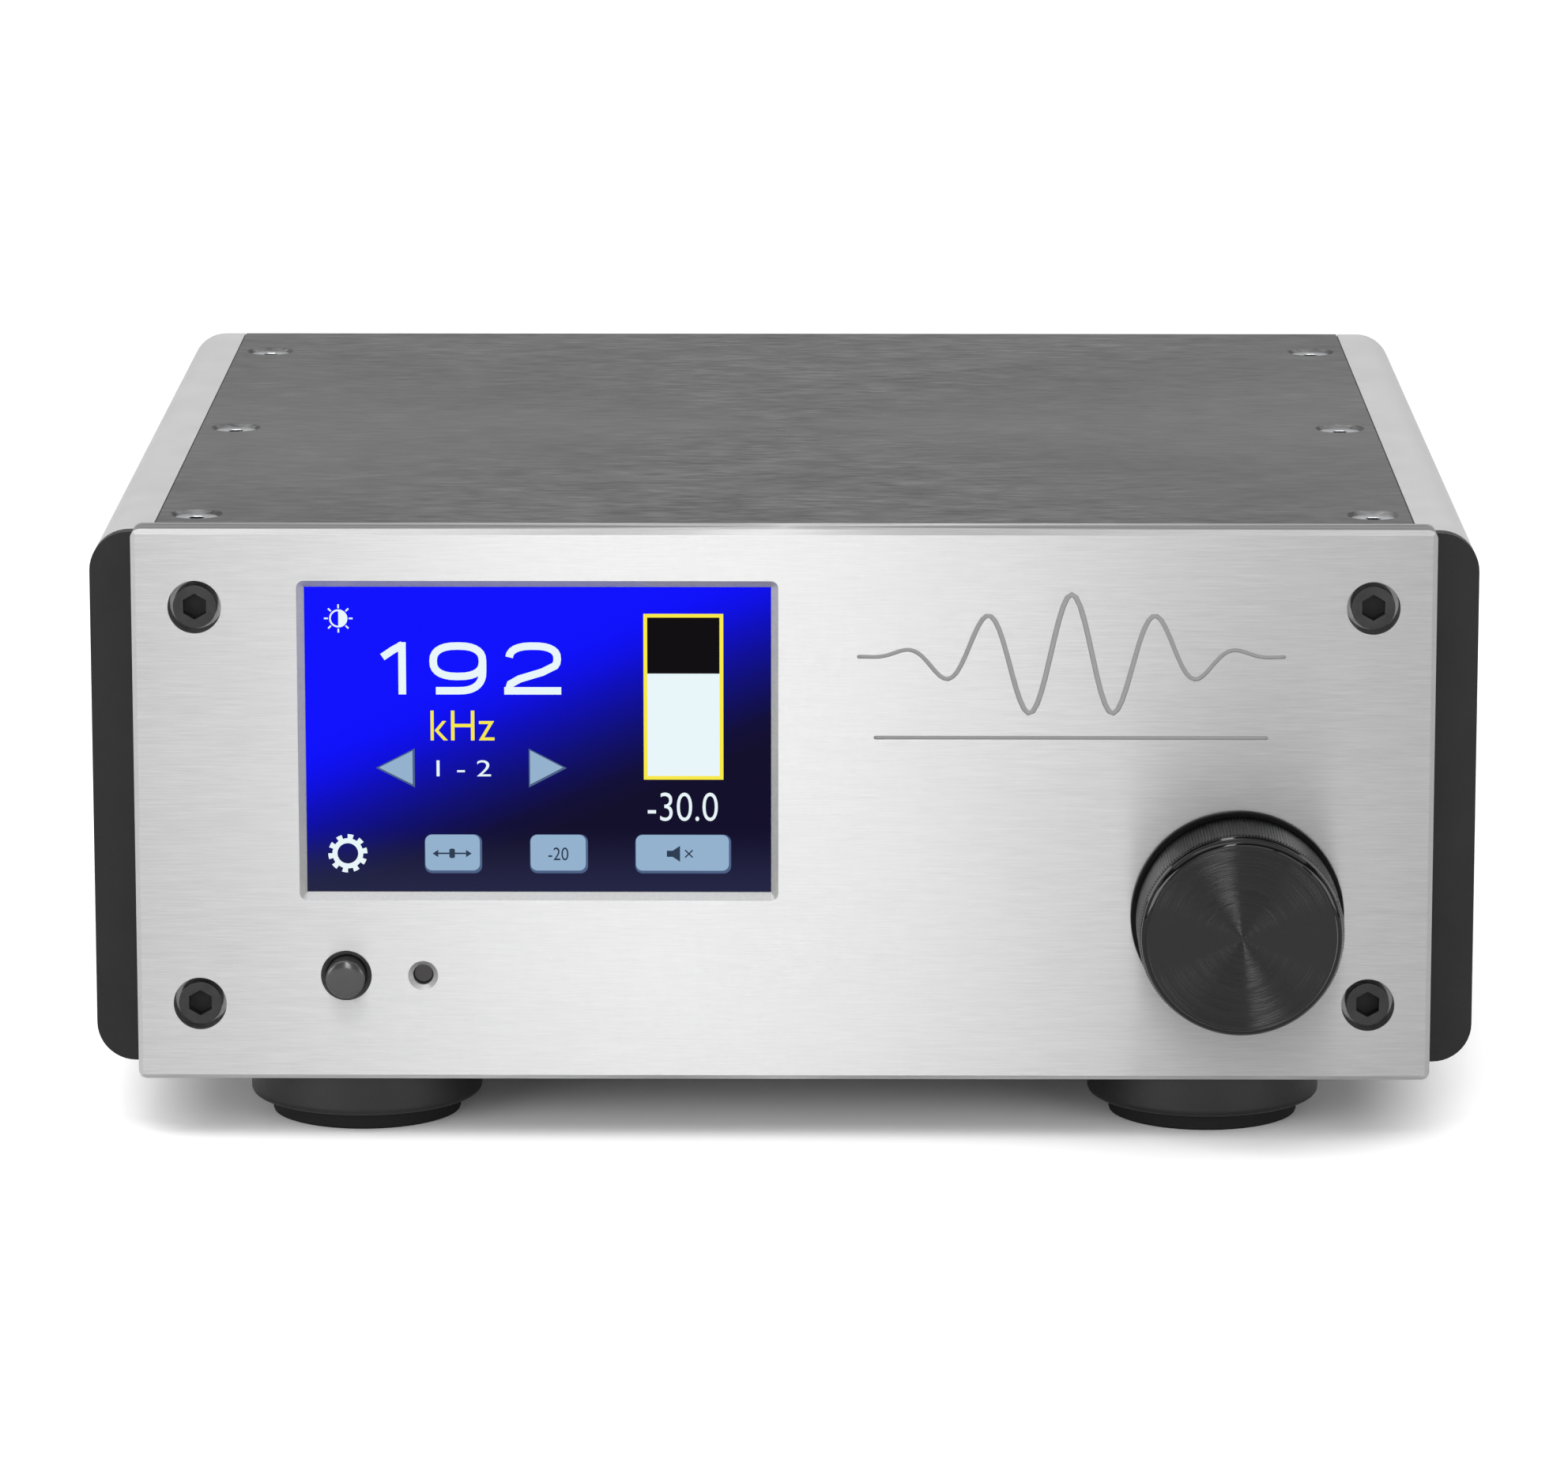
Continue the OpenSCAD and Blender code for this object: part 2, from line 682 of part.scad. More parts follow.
module foot(x, y) in_frame() color("#222222") translate([x, y, 0])
    rotate_extrude() difference() {
        union() {
            translate([0, pad_h]) square([foot_d / 2 - foot_round, foot_h - foot_neck_h - pad_h]);
            translate([0, pad_h + foot_round])
                square([foot_d / 2, foot_h - foot_neck_h - pad_h - foot_round]);
            translate([foot_d / 2 - foot_round, pad_h + foot_round]) circle(foot_round);
            square([foot_neck_r, foot_h]);
        }
        square([foot_d, pad_h]);
        square([foot_screw_r + fit, foot_h + 1]);
        square([foot_head_r + 1, foot_h - foot_web]);
    }

module foot_front_left() foot(-foot_x, foot_ys[0]);
module foot_front_right() foot(foot_x, foot_ys[0]);
module foot_rear_left() foot(-foot_x, foot_ys[1]);
module foot_rear_right() foot(foot_x, foot_ys[1]);

module foot_pads() in_frame() color("#151515")
    for (x = [-foot_x, foot_x], y = foot_ys)
        translate([x, y, 0]) cylinder(h = pad_h, r = pad_d / 2);

module foot_screws() in_frame() color("silver")
    for (x = [-foot_x, foot_x], y = foot_ys)
        translate([x, y, foot_h - foot_web - foot_head_h]) difference() {
            union() {
                cylinder(h = foot_head_h, r = foot_head_r);
                cylinder(h = foot_head_h + foot_web + base_t + 1, r = foot_screw_r);
            }
            translate([0, 0, -1]) cylinder(h = foot_head_h, r = foot_hex_r, $fn = 6);
        }

// ---- Screen ----

module display_glass() in_frame() color("#1020c0")
    slab(y_glass, glass_t) translate([window_x, window_z]) square([module_w, module_h], center = true);

// The display's tray, open at the back, resting on the front board
module display_module() in_frame() color("dimgray") difference() {
    slab(y_module, y_board - y_module) translate([window_x, window_z])
        square([module_w, module_h], center = true);
    slab(y_module + module_wall, y_board) translate([window_x, window_z])
        square([module_w - 2 * module_wall, module_h - 2 * module_wall], center = true);
}

module sensor_lens() in_frame() color("#1a1014")
    rod(sensor_x, button_z, sensor_lens_depth,
        y_board - receiver_t - sensor_lens_depth, sensor_d / 2 - fit);

module infrared_receiver() in_frame() color("#101010")
    block(sensor_x - receiver_w / 2, sensor_x + receiver_w / 2, y_board - receiver_t, y_board,
          button_z - receiver_h / 2, button_z + receiver_h / 2);

// ---- Front board ----

front_board_xs = [-front_board_w / 2 + front_hole_inset, front_board_w / 2 - front_hole_inset];
front_board_zs = [front_board_z0 + front_hole_inset, front_board_z1 - front_hole_inset];

module front_board() in_frame() color("darkgreen") difference() {
    block(-front_board_w / 2, front_board_w / 2, y_board, y_board + board_t,
          front_board_z0, front_board_z1);
    for (x = front_board_xs, z = front_board_zs)
        rod(x, z, y_board - 1, board_t + 2, board_hole_r);
}

// ---- Volume control ----

module encoder_body() in_frame() color("gray") difference() {
    union() {
        block(knob_x - encoder_side / 2, knob_x + encoder_side / 2, y_rail, y_board,
              knob_z - encoder_side / 2, knob_z + encoder_side / 2);
        rod(knob_x, knob_z, y_sub - nut_pocket_depth + 0.3, sub_t + nut_pocket_depth, bushing_r);
    }
    rod(knob_x, knob_z, 0, y_board - 2, shaft_d / 2 + running_fit);
}

module encoder_nut() in_frame() color("silver") difference() {
    translate([knob_x, y_sub - nut_t, knob_z]) rotate([-90, 0, 0])
        cylinder(h = nut_t, r = nut_side / sqrt(3), $fn = 6);
    rod(knob_x, knob_z, 0, plate_t + 1, bushing_r + fit);
}

module encoder_shaft() in_frame() color("silver")
    rod(knob_x, knob_z, -knob_reach + knob_cap_t, knob_reach - knob_cap_t + y_board - 2.5, shaft_d / 2);

// Half the knob's outline, from its back face: a flange, the grip, a groove and a rim
knob_r = knob_d / 2;
grip_end = knob_len - knob_chamfer - knob_groove_w;
knob_outline = [
    [0, 0], [knob_r, 0], [knob_r, knob_flange_t],
    [knob_r - knob_flange_step, knob_flange_t], [knob_r - knob_flange_step, grip_end],
    [knob_r - knob_groove_depth, grip_end], [knob_r - knob_groove_depth, grip_end + knob_groove_w],
    each [for (a = [0:15:90])
        [knob_r - knob_rim_step - knob_chamfer * 0.75 * (1 - cos(a)),
         knob_len - knob_chamfer * (1 - sin(a))]],
    [0, knob_len]];

module volume_knob() in_frame() color("#1e1e1e") translate([knob_x, -knob_gap, knob_z])
    rotate([90, 0, 0]) difference() {
        rotate_extrude() polygon(knob_outline);
        difference() {
            translate([0, 0, -1]) cylinder(h = knob_len - knob_cap_t + 1, r = knob_r - knob_wall);
            translate([0, 0, -2]) cylinder(h = knob_len + 2, r = knob_hub_d / 2);
        }
        translate([0, 0, -1])
            cylinder(h = knob_len - knob_cap_t + 1 + fit, r = shaft_d / 2 + running_fit);
        // Radial hole for the set screw, on the underside
        translate([0, -shaft_d / 4, set_screw_back]) rotate([90, 0, 0])
            cylinder(h = knob_d, r = set_screw_d / 2 + fit);
    }

module knob_set_screw() in_frame() color("dimgray")
    translate([knob_x, -knob_gap - set_screw_back, knob_z - shaft_d / 2 - running_fit])
        rotate([180, 0, 0]) difference() {
            cylinder(h = set_screw_len, r = set_screw_d / 2);
            translate([0, 0, set_screw_len / 2])
                cylinder(h = set_screw_len, r = set_screw_hex_r, $fn = 6);
        }

// ---- Power button ----

button_flange_y = plate_t - button_pocket_depth + button_flange_gap;
switch_y = y_board - switch_h;

module power_button() in_frame() color("#2a2a2a") {
    rod(button_x, button_z, button_edge - button_reach,
        button_reach - button_edge + button_flange_y, button_d / 2);
    taper(button_x, button_z, -button_reach, button_edge, button_d / 2 - button_edge, button_d / 2);
    rod(button_x, button_z, button_flange_y, button_flange_t, button_flange_d / 2);
    rod(button_x, button_z, button_flange_y,
        switch_y + switch_rest - button_flange_y, button_stem_d / 2);
}

module power_switch() in_frame() color("#181818") difference() {
    block(button_x - switch_side / 2, button_x + switch_side / 2, switch_y, y_board,
          button_z - switch_side / 2, button_z + switch_side / 2);
    rod(button_x, button_z, switch_y - 1, 1 + switch_rest + button_travel + switch_slack,
        button_stem_d / 2 + slide_fit);
}

// ---- Boards on the base ----

main_holes = [for (x = [main_x0 + hole_inset, main_x1 - hole_inset],
                   y = [main_y0 + hole_inset, main_y1 - main_hole_back]) [x, y]];
power_holes = [for (x = [power_x0 + hole_inset, power_x1 - hole_inset],
                    y = [power_y0 + hole_inset, power_y1 - hole_inset]) [x, y]];

module flat_board(x0, x1, y0, y1, holes) difference() {
    block(x0, x1, y0, y1, z_boards, z_boards + board_t);
    for (p = holes)
        translate([p[0], p[1], z_boards - 1]) cylinder(h = board_t + 2, r = board_hole_r);
}

module main_board() in_frame() color("darkgreen")
    flat_board(main_x0, main_x1, main_y0, main_y1, main_holes);

module power_board() in_frame() color("darkgreen")
    flat_board(power_x0, power_x1, power_y0, power_y1, power_holes);

// Threaded pillars, each with a spigot in the plate that it stands on
module pillar(h) difference() {
    union() {
        cylinder(h = h, r = standoff_d / 2);
        translate([0, 0, spigot_sink - base_t]) cylinder(h = base_t, r = spigot_r);
    }
    translate([0, 0, h - board_screw_grip - 1]) cylinder(h = h, r = board_hole_r);
}

module board_standoffs() in_frame() color("silver") {
    for (p = concat(main_holes, power_holes))
        translate([p[0], p[1], z_floor]) pillar(standoff_h);
    for (x = front_board_xs, z = front_board_zs)
        translate([x, y_rail, z]) rotate([-90, 0, 0]) pillar(encoder_t);
}

module pan_screw() difference() {
    union() {
        cylinder(h = board_screw_head_h, r = board_screw_head_d / 2);
        translate([0, 0, -board_t - board_screw_grip])
            cylinder(h = board_t + board_screw_grip + eps, r = board_screw_d / 2);
    }
    translate([0, 0, board_screw_head_h / 3])
        cylinder(h = board_screw_head_h, r = board_screw_hex_r, $fn = 6);
}

module board_screws() in_frame() color("silver") {
    for (p = concat(main_holes, power_holes))
        translate([p[0], p[1], z_parts]) pan_screw();
    for (x = front_board_xs, z = front_board_zs)
        translate([x, y_board + board_t, z]) rotate([-90, 0, 0]) pan_screw();
}

// A part on the main board: its place right of the board's middle and in front of
// the board's back edge, then its width, depth and height
converter_chip = [-20, 62, 12, 12, 1.4];
receiver_chip = [-32, 40, 14, 14, 1.4];
clock_chip = [-12, 42, 7, 5, 2];
amplifier_chip = [2, 42, 5, 6, 1.6];
amplifier_count = 6;
amplifier_pitch = 8;
relay = [-42, main_y1 - main_y0 - 34, 7.2, 10.6, 9.6];
relay_cols = 8;
relay_rows = 2;
relay_pitch_x = 12;
relay_pitch_y = 16;

module board_part(p, dx = 0, dy = 0)
    translate([main_mid + p[0] + dx - p[2] / 2, main_y1 - p[1] + dy - p[3] / 2, z_parts])
        cube([p[2], p[3], p[4]]);

// The converter, the receiver, its clock, and a row of amplifier chips
module board_chips() in_frame() color("#202020") {
    board_part(converter_chip);
    board_part(receiver_chip);
    board_part(clock_chip);
    for (i = [0:amplifier_count - 1]) board_part(amplifier_chip, dx = amplifier_pitch * i);
}

module signal_relays() in_frame() color("gainsboro")
    for (i = [0:relay_cols - 1], j = [0:relay_rows - 1])
        board_part(relay, dx = relay_pitch_x * i, dy = relay_pitch_y * j);

module toroidal_transformer() in_frame() color("goldenrod")
    translate([toroid_x, toroid_y, z_floor + toroid_round]) rotate_extrude()
        translate([toroid_hole_d / 2 + toroid_round, 0]) {
            flat = (toroid_d - toroid_hole_d) / 2 - 2 * toroid_round;
            tall = toroid_h - 2 * toroid_round;
            translate([-toroid_round, 0]) square([flat + 2 * toroid_round, tall]);
            translate([0, -toroid_round]) square([flat, toroid_h]);
            for (x = [0, flat], z = [0, tall]) translate([x, z]) circle(toroid_round);
        }

module transformer_washer() in_frame() color("silver") translate([toroid_x, toroid_y, z_floor + toroid_h])
    difference() {
        cylinder(h = toroid_washer_t, r = toroid_washer_r);
        translate([0, 0, -1]) cylinder(h = toroid_washer_t + 2, r = toroid_bolt_r + fit);
    }

// A hexagon-socket bolt through the washer and the transformer into the base plate
bolt_head_h = 3;
bolt_head_r = 4.4;
bolt_hex_r = 2.3;

module transformer_bolt() in_frame() color("dimgray")
    translate([toroid_x, toroid_y, z_floor + toroid_h + toroid_washer_t]) difference() {
        union() {
            cylinder(h = bolt_head_h, r = bolt_head_r);
            translate([0, 0, -toroid_washer_t - toroid_h - base_t + spigot_sink])
                cylinder(h = toroid_washer_t + toroid_h + base_t, r = toroid_bolt_r);
        }
        translate([0, 0, bolt_head_h / 3]) cylinder(h = bolt_head_h, r = bolt_hex_r, $fn = 6);
    }

capacitor_r = 9;
capacitor_h = 30;
capacitor_x = 11;
capacitor_y = 22;

module reservoir_capacitors() in_frame() color("#1b2a4a")
    for (x = [-capacitor_x, capacitor_x])
        translate([power_mid + x, power_y0 + capacitor_y, z_parts])
            cylinder(h = capacitor_h, r = capacitor_r);

sink_w = 40;
sink_h = 30;
sink_t = 3;
sink_fins = 8;
sink_fin_t = 1.6;
sink_fin_len = 9;
sink_y = power_y0 + 42;
regulator_w = 10;
regulator_t = 4.6;
regulator_len = 16;
regulator_lift = 4;
regulator_xs = [-14, 4];

module regulator_heatsink() in_frame() color("#202020")
    translate([power_mid - sink_w / 2, sink_y, z_parts]) {
        cube([sink_w, sink_t, sink_h]);
        for (i = [0:sink_fins - 1])
            translate([(sink_w - sink_fin_t) * i / (sink_fins - 1), sink_t - eps, 0])
                cube([sink_fin_t, sink_fin_len, sink_h]);
    }

module regulators() in_frame() color("#303030")
    for (x = regulator_xs)
        translate([power_mid + x, sink_y - regulator_t, z_parts + regulator_lift])
            cube([regulator_w, regulator_t, regulator_len]);

// ---- Inside wiring ----

ribbon_w = 33;
ribbon_x = main_mid - 8;
ribbon_z = z_parts + 16;
header_h = 6;
header_edge = 2;
header_half_t = 3;
ribbon_r = 8;
ribbon_t = 0.9;
y_header = y_board + board_t + header_h;
y_turn = main_y0 + 14;

// Flat cable: straight back from the front board, then a quarter turn down to the main board
module ribbon_cable() in_frame() color("gray")
    translate([ribbon_x - ribbon_w / 2, 0, 0]) rotate([90, 0, 90]) linear_extrude(ribbon_w) {
        translate([y_header, ribbon_z - ribbon_t / 2]) square([y_turn - y_header, ribbon_t]);
        translate([y_turn, ribbon_z - ribbon_r]) intersection() {
            difference() {
                circle(ribbon_r + ribbon_t / 2);
                circle(ribbon_r - ribbon_t / 2);
            }
            square(ribbon_r * 2);
        }
        translate([y_turn + ribbon_r - ribbon_t / 2, z_parts + header_h])
            square([ribbon_t, ribbon_z - ribbon_r - z_parts - header_h]);
    }

module ribbon_headers() in_frame() color("#202020") {
    x0 = ribbon_x - ribbon_w / 2 - header_edge;
    x1 = ribbon_x + ribbon_w / 2 + header_edge;
    block(x0, x1, y_board + board_t, y_header, ribbon_z - header_half_t, ribbon_z + header_half_t);
    block(x0, x1, y_turn + ribbon_r - header_half_t, y_turn + ribbon_r + header_half_t,
          z_parts, z_parts + header_h);
}

// A wire from a to b that leaves a along da and meets b along db
wire_r = 1;
wire_steps = 12;
wire_stub = 0.02;
lead_reach = 10;
lead_rise = 14;
lead_pitch = 5;
lead_angles = [-18, -6, 6, 18];
function bezier(a, b, c, d, t) =
    pow(1 - t, 3) * a + 3 * pow(1 - t, 2) * t * b + 3 * (1 - t) * t * t * c + pow(t, 3) * d;
module wire(a, da, b, db)
    tube([a,
          for (i = [0:wire_steps])
              bezier(a + wire_stub * da, a + da, b + db, b + wire_stub * db, i / wire_steps),
          b], wire_r);

// Wires: inlet to power board, transformer to power board, power board to main board
module power_leads() in_frame() color("saddlebrown") {
    for (p = mains_pin_places)
        wire([inlet_x + p[0], y_tags, inlet_z + socket_z + p[1]], [0, -lead_reach, 0],
             [inlet_x + p[0], power_y1 - lead_pitch, z_parts], [0, 0, lead_rise]);
    for (i = [0:len(lead_angles) - 1])
        let (out = [sin(lead_angles[i]), cos(lead_angles[i]), 0])
            wire([toroid_x, toroid_y, z_floor + toroid_h * 0.6] + toroid_d / 2 * out, 2 * out,
                 [power_mid + (i - 1.5) * lead_pitch, power_y0 + board_edge, z_parts],
                 [0, 0, lead_rise / 2]);
    for (i = [2:4])
        wire([power_x1 - board_edge, power_y1 - i * lead_pitch, z_parts], [0, 0, lead_rise / 2],
             [main_x0 + board_edge, power_y1 - i * lead_pitch, z_parts], [0, 0, lead_rise / 2]);
}

// ---- Back ----

module latch_slot(x, y0, y1)
    block(x - latch_w / 2 - slide_fit, x + latch_w / 2 + slide_fit, y0, y1,
          xlr_z + latch_z - latch_h / 2 - slide_fit, xlr_z + latch_z + latch_h / 2 + slide_fit);

module rear_panel() in_frame() color("#242424") difference() {
    slab(y_rear, rear_t) translate([0, z_mid])
        rounded_rect(case_w - 2 * rear_inset, rail_h - 2 * rear_inset, rail_corner_r - rear_inset);
    for (x = [-corner_x, corner_x], z = corner_zs)
        rod(x, z, y_rear - 1, rear_t + 2, port_r);
    for (x = concat(xlr_in_xs, xlr_out_xs)) {
        rod(x, xlr_z, y_rear - 1, rear_t + 2, xlr_body_d / 2 + fit);
        for (s = [-1, 1])
            rod(x + s * xlr_screw_x, xlr_z + s * xlr_screw_z,
                y_rear - 1, rear_t + 2, panel_screw_d / 2 + fit);
    }
    for (x = xlr_in_xs) latch_slot(x, y_rear - 1, y_back + 1);
    slab(y_rear - 1, rear_t + 2) translate([inlet_x, inlet_z])
        square([inlet_body_w + 2 * fit, inlet_body_h + 2 * fit], center = true);
    for (s = [-1, 1])
        rod(inlet_x + s * inlet_screw_x, inlet_z, y_rear - 1, rear_t + 2, panel_screw_d / 2 + fit);
    for (x = rca_xs) rod(x, low_row_z, y_rear - 1, rear_t + 2, rca_d / 2 - rca_neck_step + fit);
    slab(y_rear - 1, rear_t + 2) translate([usb_x, low_row_z])
        square([usb_w + 2 * fit, usb_h + 2 * fit], center = true);
}

// Button-head screws that hold the rear panel to the rails' ports
button_head_r = 3.8;
button_head_top_r = 2.6;
button_head_rim = 1.4;
button_head_h = 2.2;
button_head_hex = 2.4;
rear_screw_len = rear_t + port_depth - 4;

module rear_panel_screws() in_frame() color("#303030")
    for (x = [-corner_x, corner_x], z = corner_zs)
        translate([x, y_back, z]) rotate([-90, 0, 0]) difference() {
            union() {
                cylinder(h = button_head_rim, r = button_head_r);
                translate([0, 0, button_head_rim])
                    cylinder(h = button_head_h - button_head_rim,
                             r1 = button_head_r, r2 = button_head_top_r);
                translate([0, 0, -rear_screw_len])
                    cylinder(h = rear_screw_len + eps, r = cap_screw_d / 2);
            }
            translate([0, 0, button_head_h / 3])
                cylinder(h = button_head_h, r = button_head_hex / sqrt(3), $fn = 6);
        }

module xlr_flange(x) difference() {
    union() {
        slab(y_back, xlr_flange_t) translate([x, xlr_z])
            rounded_rect(xlr_flange_w, xlr_flange_h, xlr_flange_r);
        rod(x, xlr_z, y_back - xlr_depth, xlr_depth + eps, xlr_body_d / 2);
    }
    for (s = [-1, 1])
        translate([x + s * xlr_screw_x, y_back + xlr_flange_t, xlr_z + s * xlr_screw_z]) rotate([90, 0, 0])
            flat_screw_hole(panel_screw_d, panel_head_d, screw_sink, xlr_flange_t);
}

// Output sockets: a plain recess with three pins standing in it
module xlr_output_sockets() in_frame() color("#303030")
    for (x = xlr_out_xs) difference() {
        xlr_flange(x);
        rod(x, xlr_z, y_back + xlr_flange_t - xlr_recess_depth, xlr_recess_depth + 1, xlr_recess_d / 2);
        for (a = [30, 150, 270])
            rod(x + xlr_pin_ring * cos(a), xlr_z + xlr_pin_ring * sin(a),
                y_back - xlr_depth - 1, xlr_depth + 1, xlr_pin_d / 2 + fit);
    }

module xlr_output_pins() in_frame() color("gold")
    for (x = xlr_out_xs, a = [30, 150, 270])
        rod(x + xlr_pin_ring * cos(a), xlr_z + xlr_pin_ring * sin(a),
            y_back - xlr_depth - xlr_pin_tail, xlr_depth + xlr_pin_tail, xlr_pin_d / 2);

// Input sockets: a ring-shaped recess round a core with three contact holes,
// and a slot above it for the release tab
module xlr_input_sockets() in_frame() color("#303030")
    for (x = xlr_in_xs) difference() {
        xlr_flange(x);
        difference() {
            rod(x, xlr_z, y_back + xlr_flange_t - xlr_recess_depth, xlr_recess_depth + 1, xlr_recess_d / 2);
            rod(x, xlr_z, y_rear - xlr_depth, xlr_depth + rear_t + xlr_flange_t - xlr_core_step,
                xlr_recess_d / 2 - xlr_core_wall);
        }
        for (a = [90, 210, 330])
            rod(x + xlr_pin_ring * cos(a), xlr_z + xlr_pin_ring * sin(a),
                y_back - xlr_contact_depth, 2 * xlr_contact_depth, xlr_pin_d / 2 + fit);
        latch_slot(x, y_back + xlr_flange_t - latch_depth - latch_travel - 1, y_back + xlr_flange_t + 1);
    }

module xlr_latch(x) in_frame() color("silver")
    block(x - latch_w / 2, x + latch_w / 2, y_back + xlr_flange_t - latch_depth,
          y_back + xlr_flange_t + latch_reach, xlr_z + latch_z - latch_h / 2, xlr_z + latch_z + latch_h / 2);

module xlr_latch_left() xlr_latch(xlr_in_xs[1]);
module xlr_latch_right() xlr_latch(xlr_in_xs[0]);

// A socket's opening: a rectangle with its two upper corners cut off
module keyed_face(w, h, cut)
    polygon([[-w / 2, -h / 2], [w / 2, -h / 2], [w / 2, h / 2 - cut], [w / 2 - cut, h / 2],
             [-w / 2 + cut, h / 2], [-w / 2, h / 2 - cut]]);

module mains_inlet() in_frame() color("#1c1c1c") difference() {
    union() {
        slab(y_back, inlet_flange_t) translate([inlet_x, inlet_z])
            rounded_rect(inlet_flange_w, inlet_flange_h, inlet_flange_r);
        slab(y_back - inlet_depth, inlet_depth + eps) translate([inlet_x, inlet_z])
            square([inlet_body_w, inlet_body_h], center = true);
    }
    slab(y_back + inlet_flange_t - socket_depth, socket_depth + 1)
        translate([inlet_x, inlet_z + socket_z]) keyed_face(socket_w, socket_h, socket_cut);
    slab(y_back + inlet_flange_t - drawer_len - 1, drawer_len + 2)
        translate([inlet_x, inlet_z + drawer_z])
            square([drawer_w + 2 * slide_fit, drawer_h + 2 * slide_fit], center = true);
    for (p = mains_pin_places)
        slab(y_back - inlet_depth - 1, inlet_depth) translate([inlet_x + p[0], inlet_z + socket_z + p[1]])
            square([mains_pin_w + 2 * fit, mains_pin_h + 2 * fit], center = true);
    for (s = [-1, 1])
        translate([inlet_x + s * inlet_screw_x, y_back + inlet_flange_t, inlet_z]) rotate([90, 0, 0])
            flat_screw_hole(panel_screw_d, panel_head_d, screw_sink, inlet_flange_t);
}

module mains_pins() in_frame() color("gainsboro")
    for (p = mains_pin_places)
        slab(y_tags, y_back - mains_pin_short - y_tags)
            translate([inlet_x + p[0], inlet_z + socket_z + p[1]])
                square([mains_pin_w, mains_pin_h], center = true);

// A tray that slides out of the inlet with the fuse lying in it
module fuse_drawer() in_frame() color("#262626") difference() {
    union() {
        slab(y_drawer, drawer_len) translate([inlet_x, inlet_z + drawer_z])
            square([drawer_w, drawer_h], center = true);
        slab(y_back + inlet_flange_t, drawer_lip)
            translate([inlet_x, inlet_z + drawer_z - drawer_lip_drop])
                rounded_rect(drawer_lip_w, drawer_lip_h, drawer_lip_r);
    }
    block(inlet_x - fuse_len / 2 - fit, inlet_x + fuse_len / 2 + fit,
          y_fuse - fuse_d / 2 - fit, y_fuse + fuse_d / 2 + fit,
          z_fuse - fuse_d / 2, z_fuse + drawer_h);
}

module fuse() in_frame() color("gainsboro") translate([inlet_x - fuse_len / 2, y_fuse, z_fuse])
    rotate([0, 90, 0]) {
        cylinder(h = fuse_len, r = fuse_glass_d / 2);
        for (x = [0, fuse_len - fuse_cap]) translate([0, 0, x]) cylinder(h = fuse_cap, r = fuse_d / 2);
    }

module panel_screw(grip)
    rotate([90, 0, 0]) flat_screw(panel_screw_d, panel_head_d, grip, inlet_screw_hex);

module socket_screws() in_frame() color("silver") {
    for (x = concat(xlr_in_xs, xlr_out_xs), s = [-1, 1])
        translate([x + s * xlr_screw_x, y_back + xlr_flange_t - screw_sink, xlr_z + s * xlr_screw_z])
            panel_screw(xlr_flange_t + rear_t);
    for (s = [-1, 1])
        translate([inlet_x + s * inlet_screw_x, y_back + inlet_flange_t - screw_sink, inlet_z])
            panel_screw(inlet_flange_t + rear_t);
}

rca_inner_r = rca_d / 2 - rca_shell_wall;
rca_neck_r = rca_d / 2 - rca_neck_step;

module phono_shells() in_frame() color("gold")
    for (x = rca_xs) difference() {
        union() {
            rod(x, low_row_z, y_back, rca_washer_t, rca_washer_d / 2);
            rod(x, low_row_z, y_back, rca_reach, rca_d / 2);
            rod(x, low_row_z, y_back - rca_depth, rca_depth + eps, rca_neck_r);
        }
        rod(x, low_row_z, y_back - rca_depth - 1, rca_depth + rca_reach + 2, rca_inner_r);
    }

// The jacks' plastic bodies, standing on the main board behind the rear panel
module phono_housings() in_frame() color("#202020")
    for (x = rca_xs) difference() {
        block(x - rca_housing_w / 2, x + rca_housing_w / 2, y_rear - rca_housing_len, y_rear,
              z_parts, low_row_z + rca_housing_w / 2);
        rod(x, low_row_z, y_back - rca_depth, rca_depth + 1, rca_neck_r + fit);
    }

module phono_core(x) difference() {
    rod(x, low_row_z, y_back - rca_depth, rca_depth + rca_reach - rca_core_step, rca_inner_r - fit / 2);
    rod(x, low_row_z, y_back - rca_depth / 2, rca_reach + rca_depth, rca_bore_d / 2);
}

module phono_cores_left() in_frame() color("white") for (i = [1, 3]) phono_core(rca_xs[i]);
module phono_cores_right() in_frame() color("firebrick") for (i = [0, 2]) phono_core(rca_xs[i]);
module phono_core_digital() in_frame() color("darkorange") phono_core(rca_xs[4]);

// A square data socket with a tongue in it
module usb_socket() in_frame() color("silver") {
    difference() {
        slab(y_back - usb_depth, usb_depth + usb_reach) translate([usb_x, low_row_z])
            square([usb_w, usb_h], center = true);
        slab(y_back + usb_reach - usb_mouth, usb_mouth + 1) translate([usb_x, low_row_z])
            keyed_face(usb_hole_w, usb_hole_h, usb_hole_cut);
    }
    slab(y_back - usb_depth + 1, usb_depth - 2) translate([usb_x, low_row_z])
        square([usb_tongue_w, usb_tongue_h], center = true);
}

front_plate();
front_plate_screws();
front_subpanel();
side_rail_left();
side_rail_right();
top_cover();
top_cover_screws();
base_plate();
base_plate_screws();
rear_panel();
rear_panel_screws();
foot_front_left();
foot_front_right();
foot_rear_left();
foot_rear_right();
foot_pads();
foot_screws();
display_glass();
display_module();
front_board();
board_standoffs();
board_screws();
sensor_lens();
infrared_receiver();
encoder_body();
encoder_nut();
encoder_shaft();
volume_knob();
knob_set_screw();
power_button();
power_switch();
main_board();
power_board();
board_chips();
signal_relays();
toroidal_transformer();
transformer_washer();
transformer_bolt();
reservoir_capacitors();
regulator_heatsink();
regulators();
ribbon_cable();
ribbon_headers();
power_leads();
mains_inlet();
mains_pins();
fuse_drawer();
fuse();
xlr_output_sockets();
xlr_output_pins();
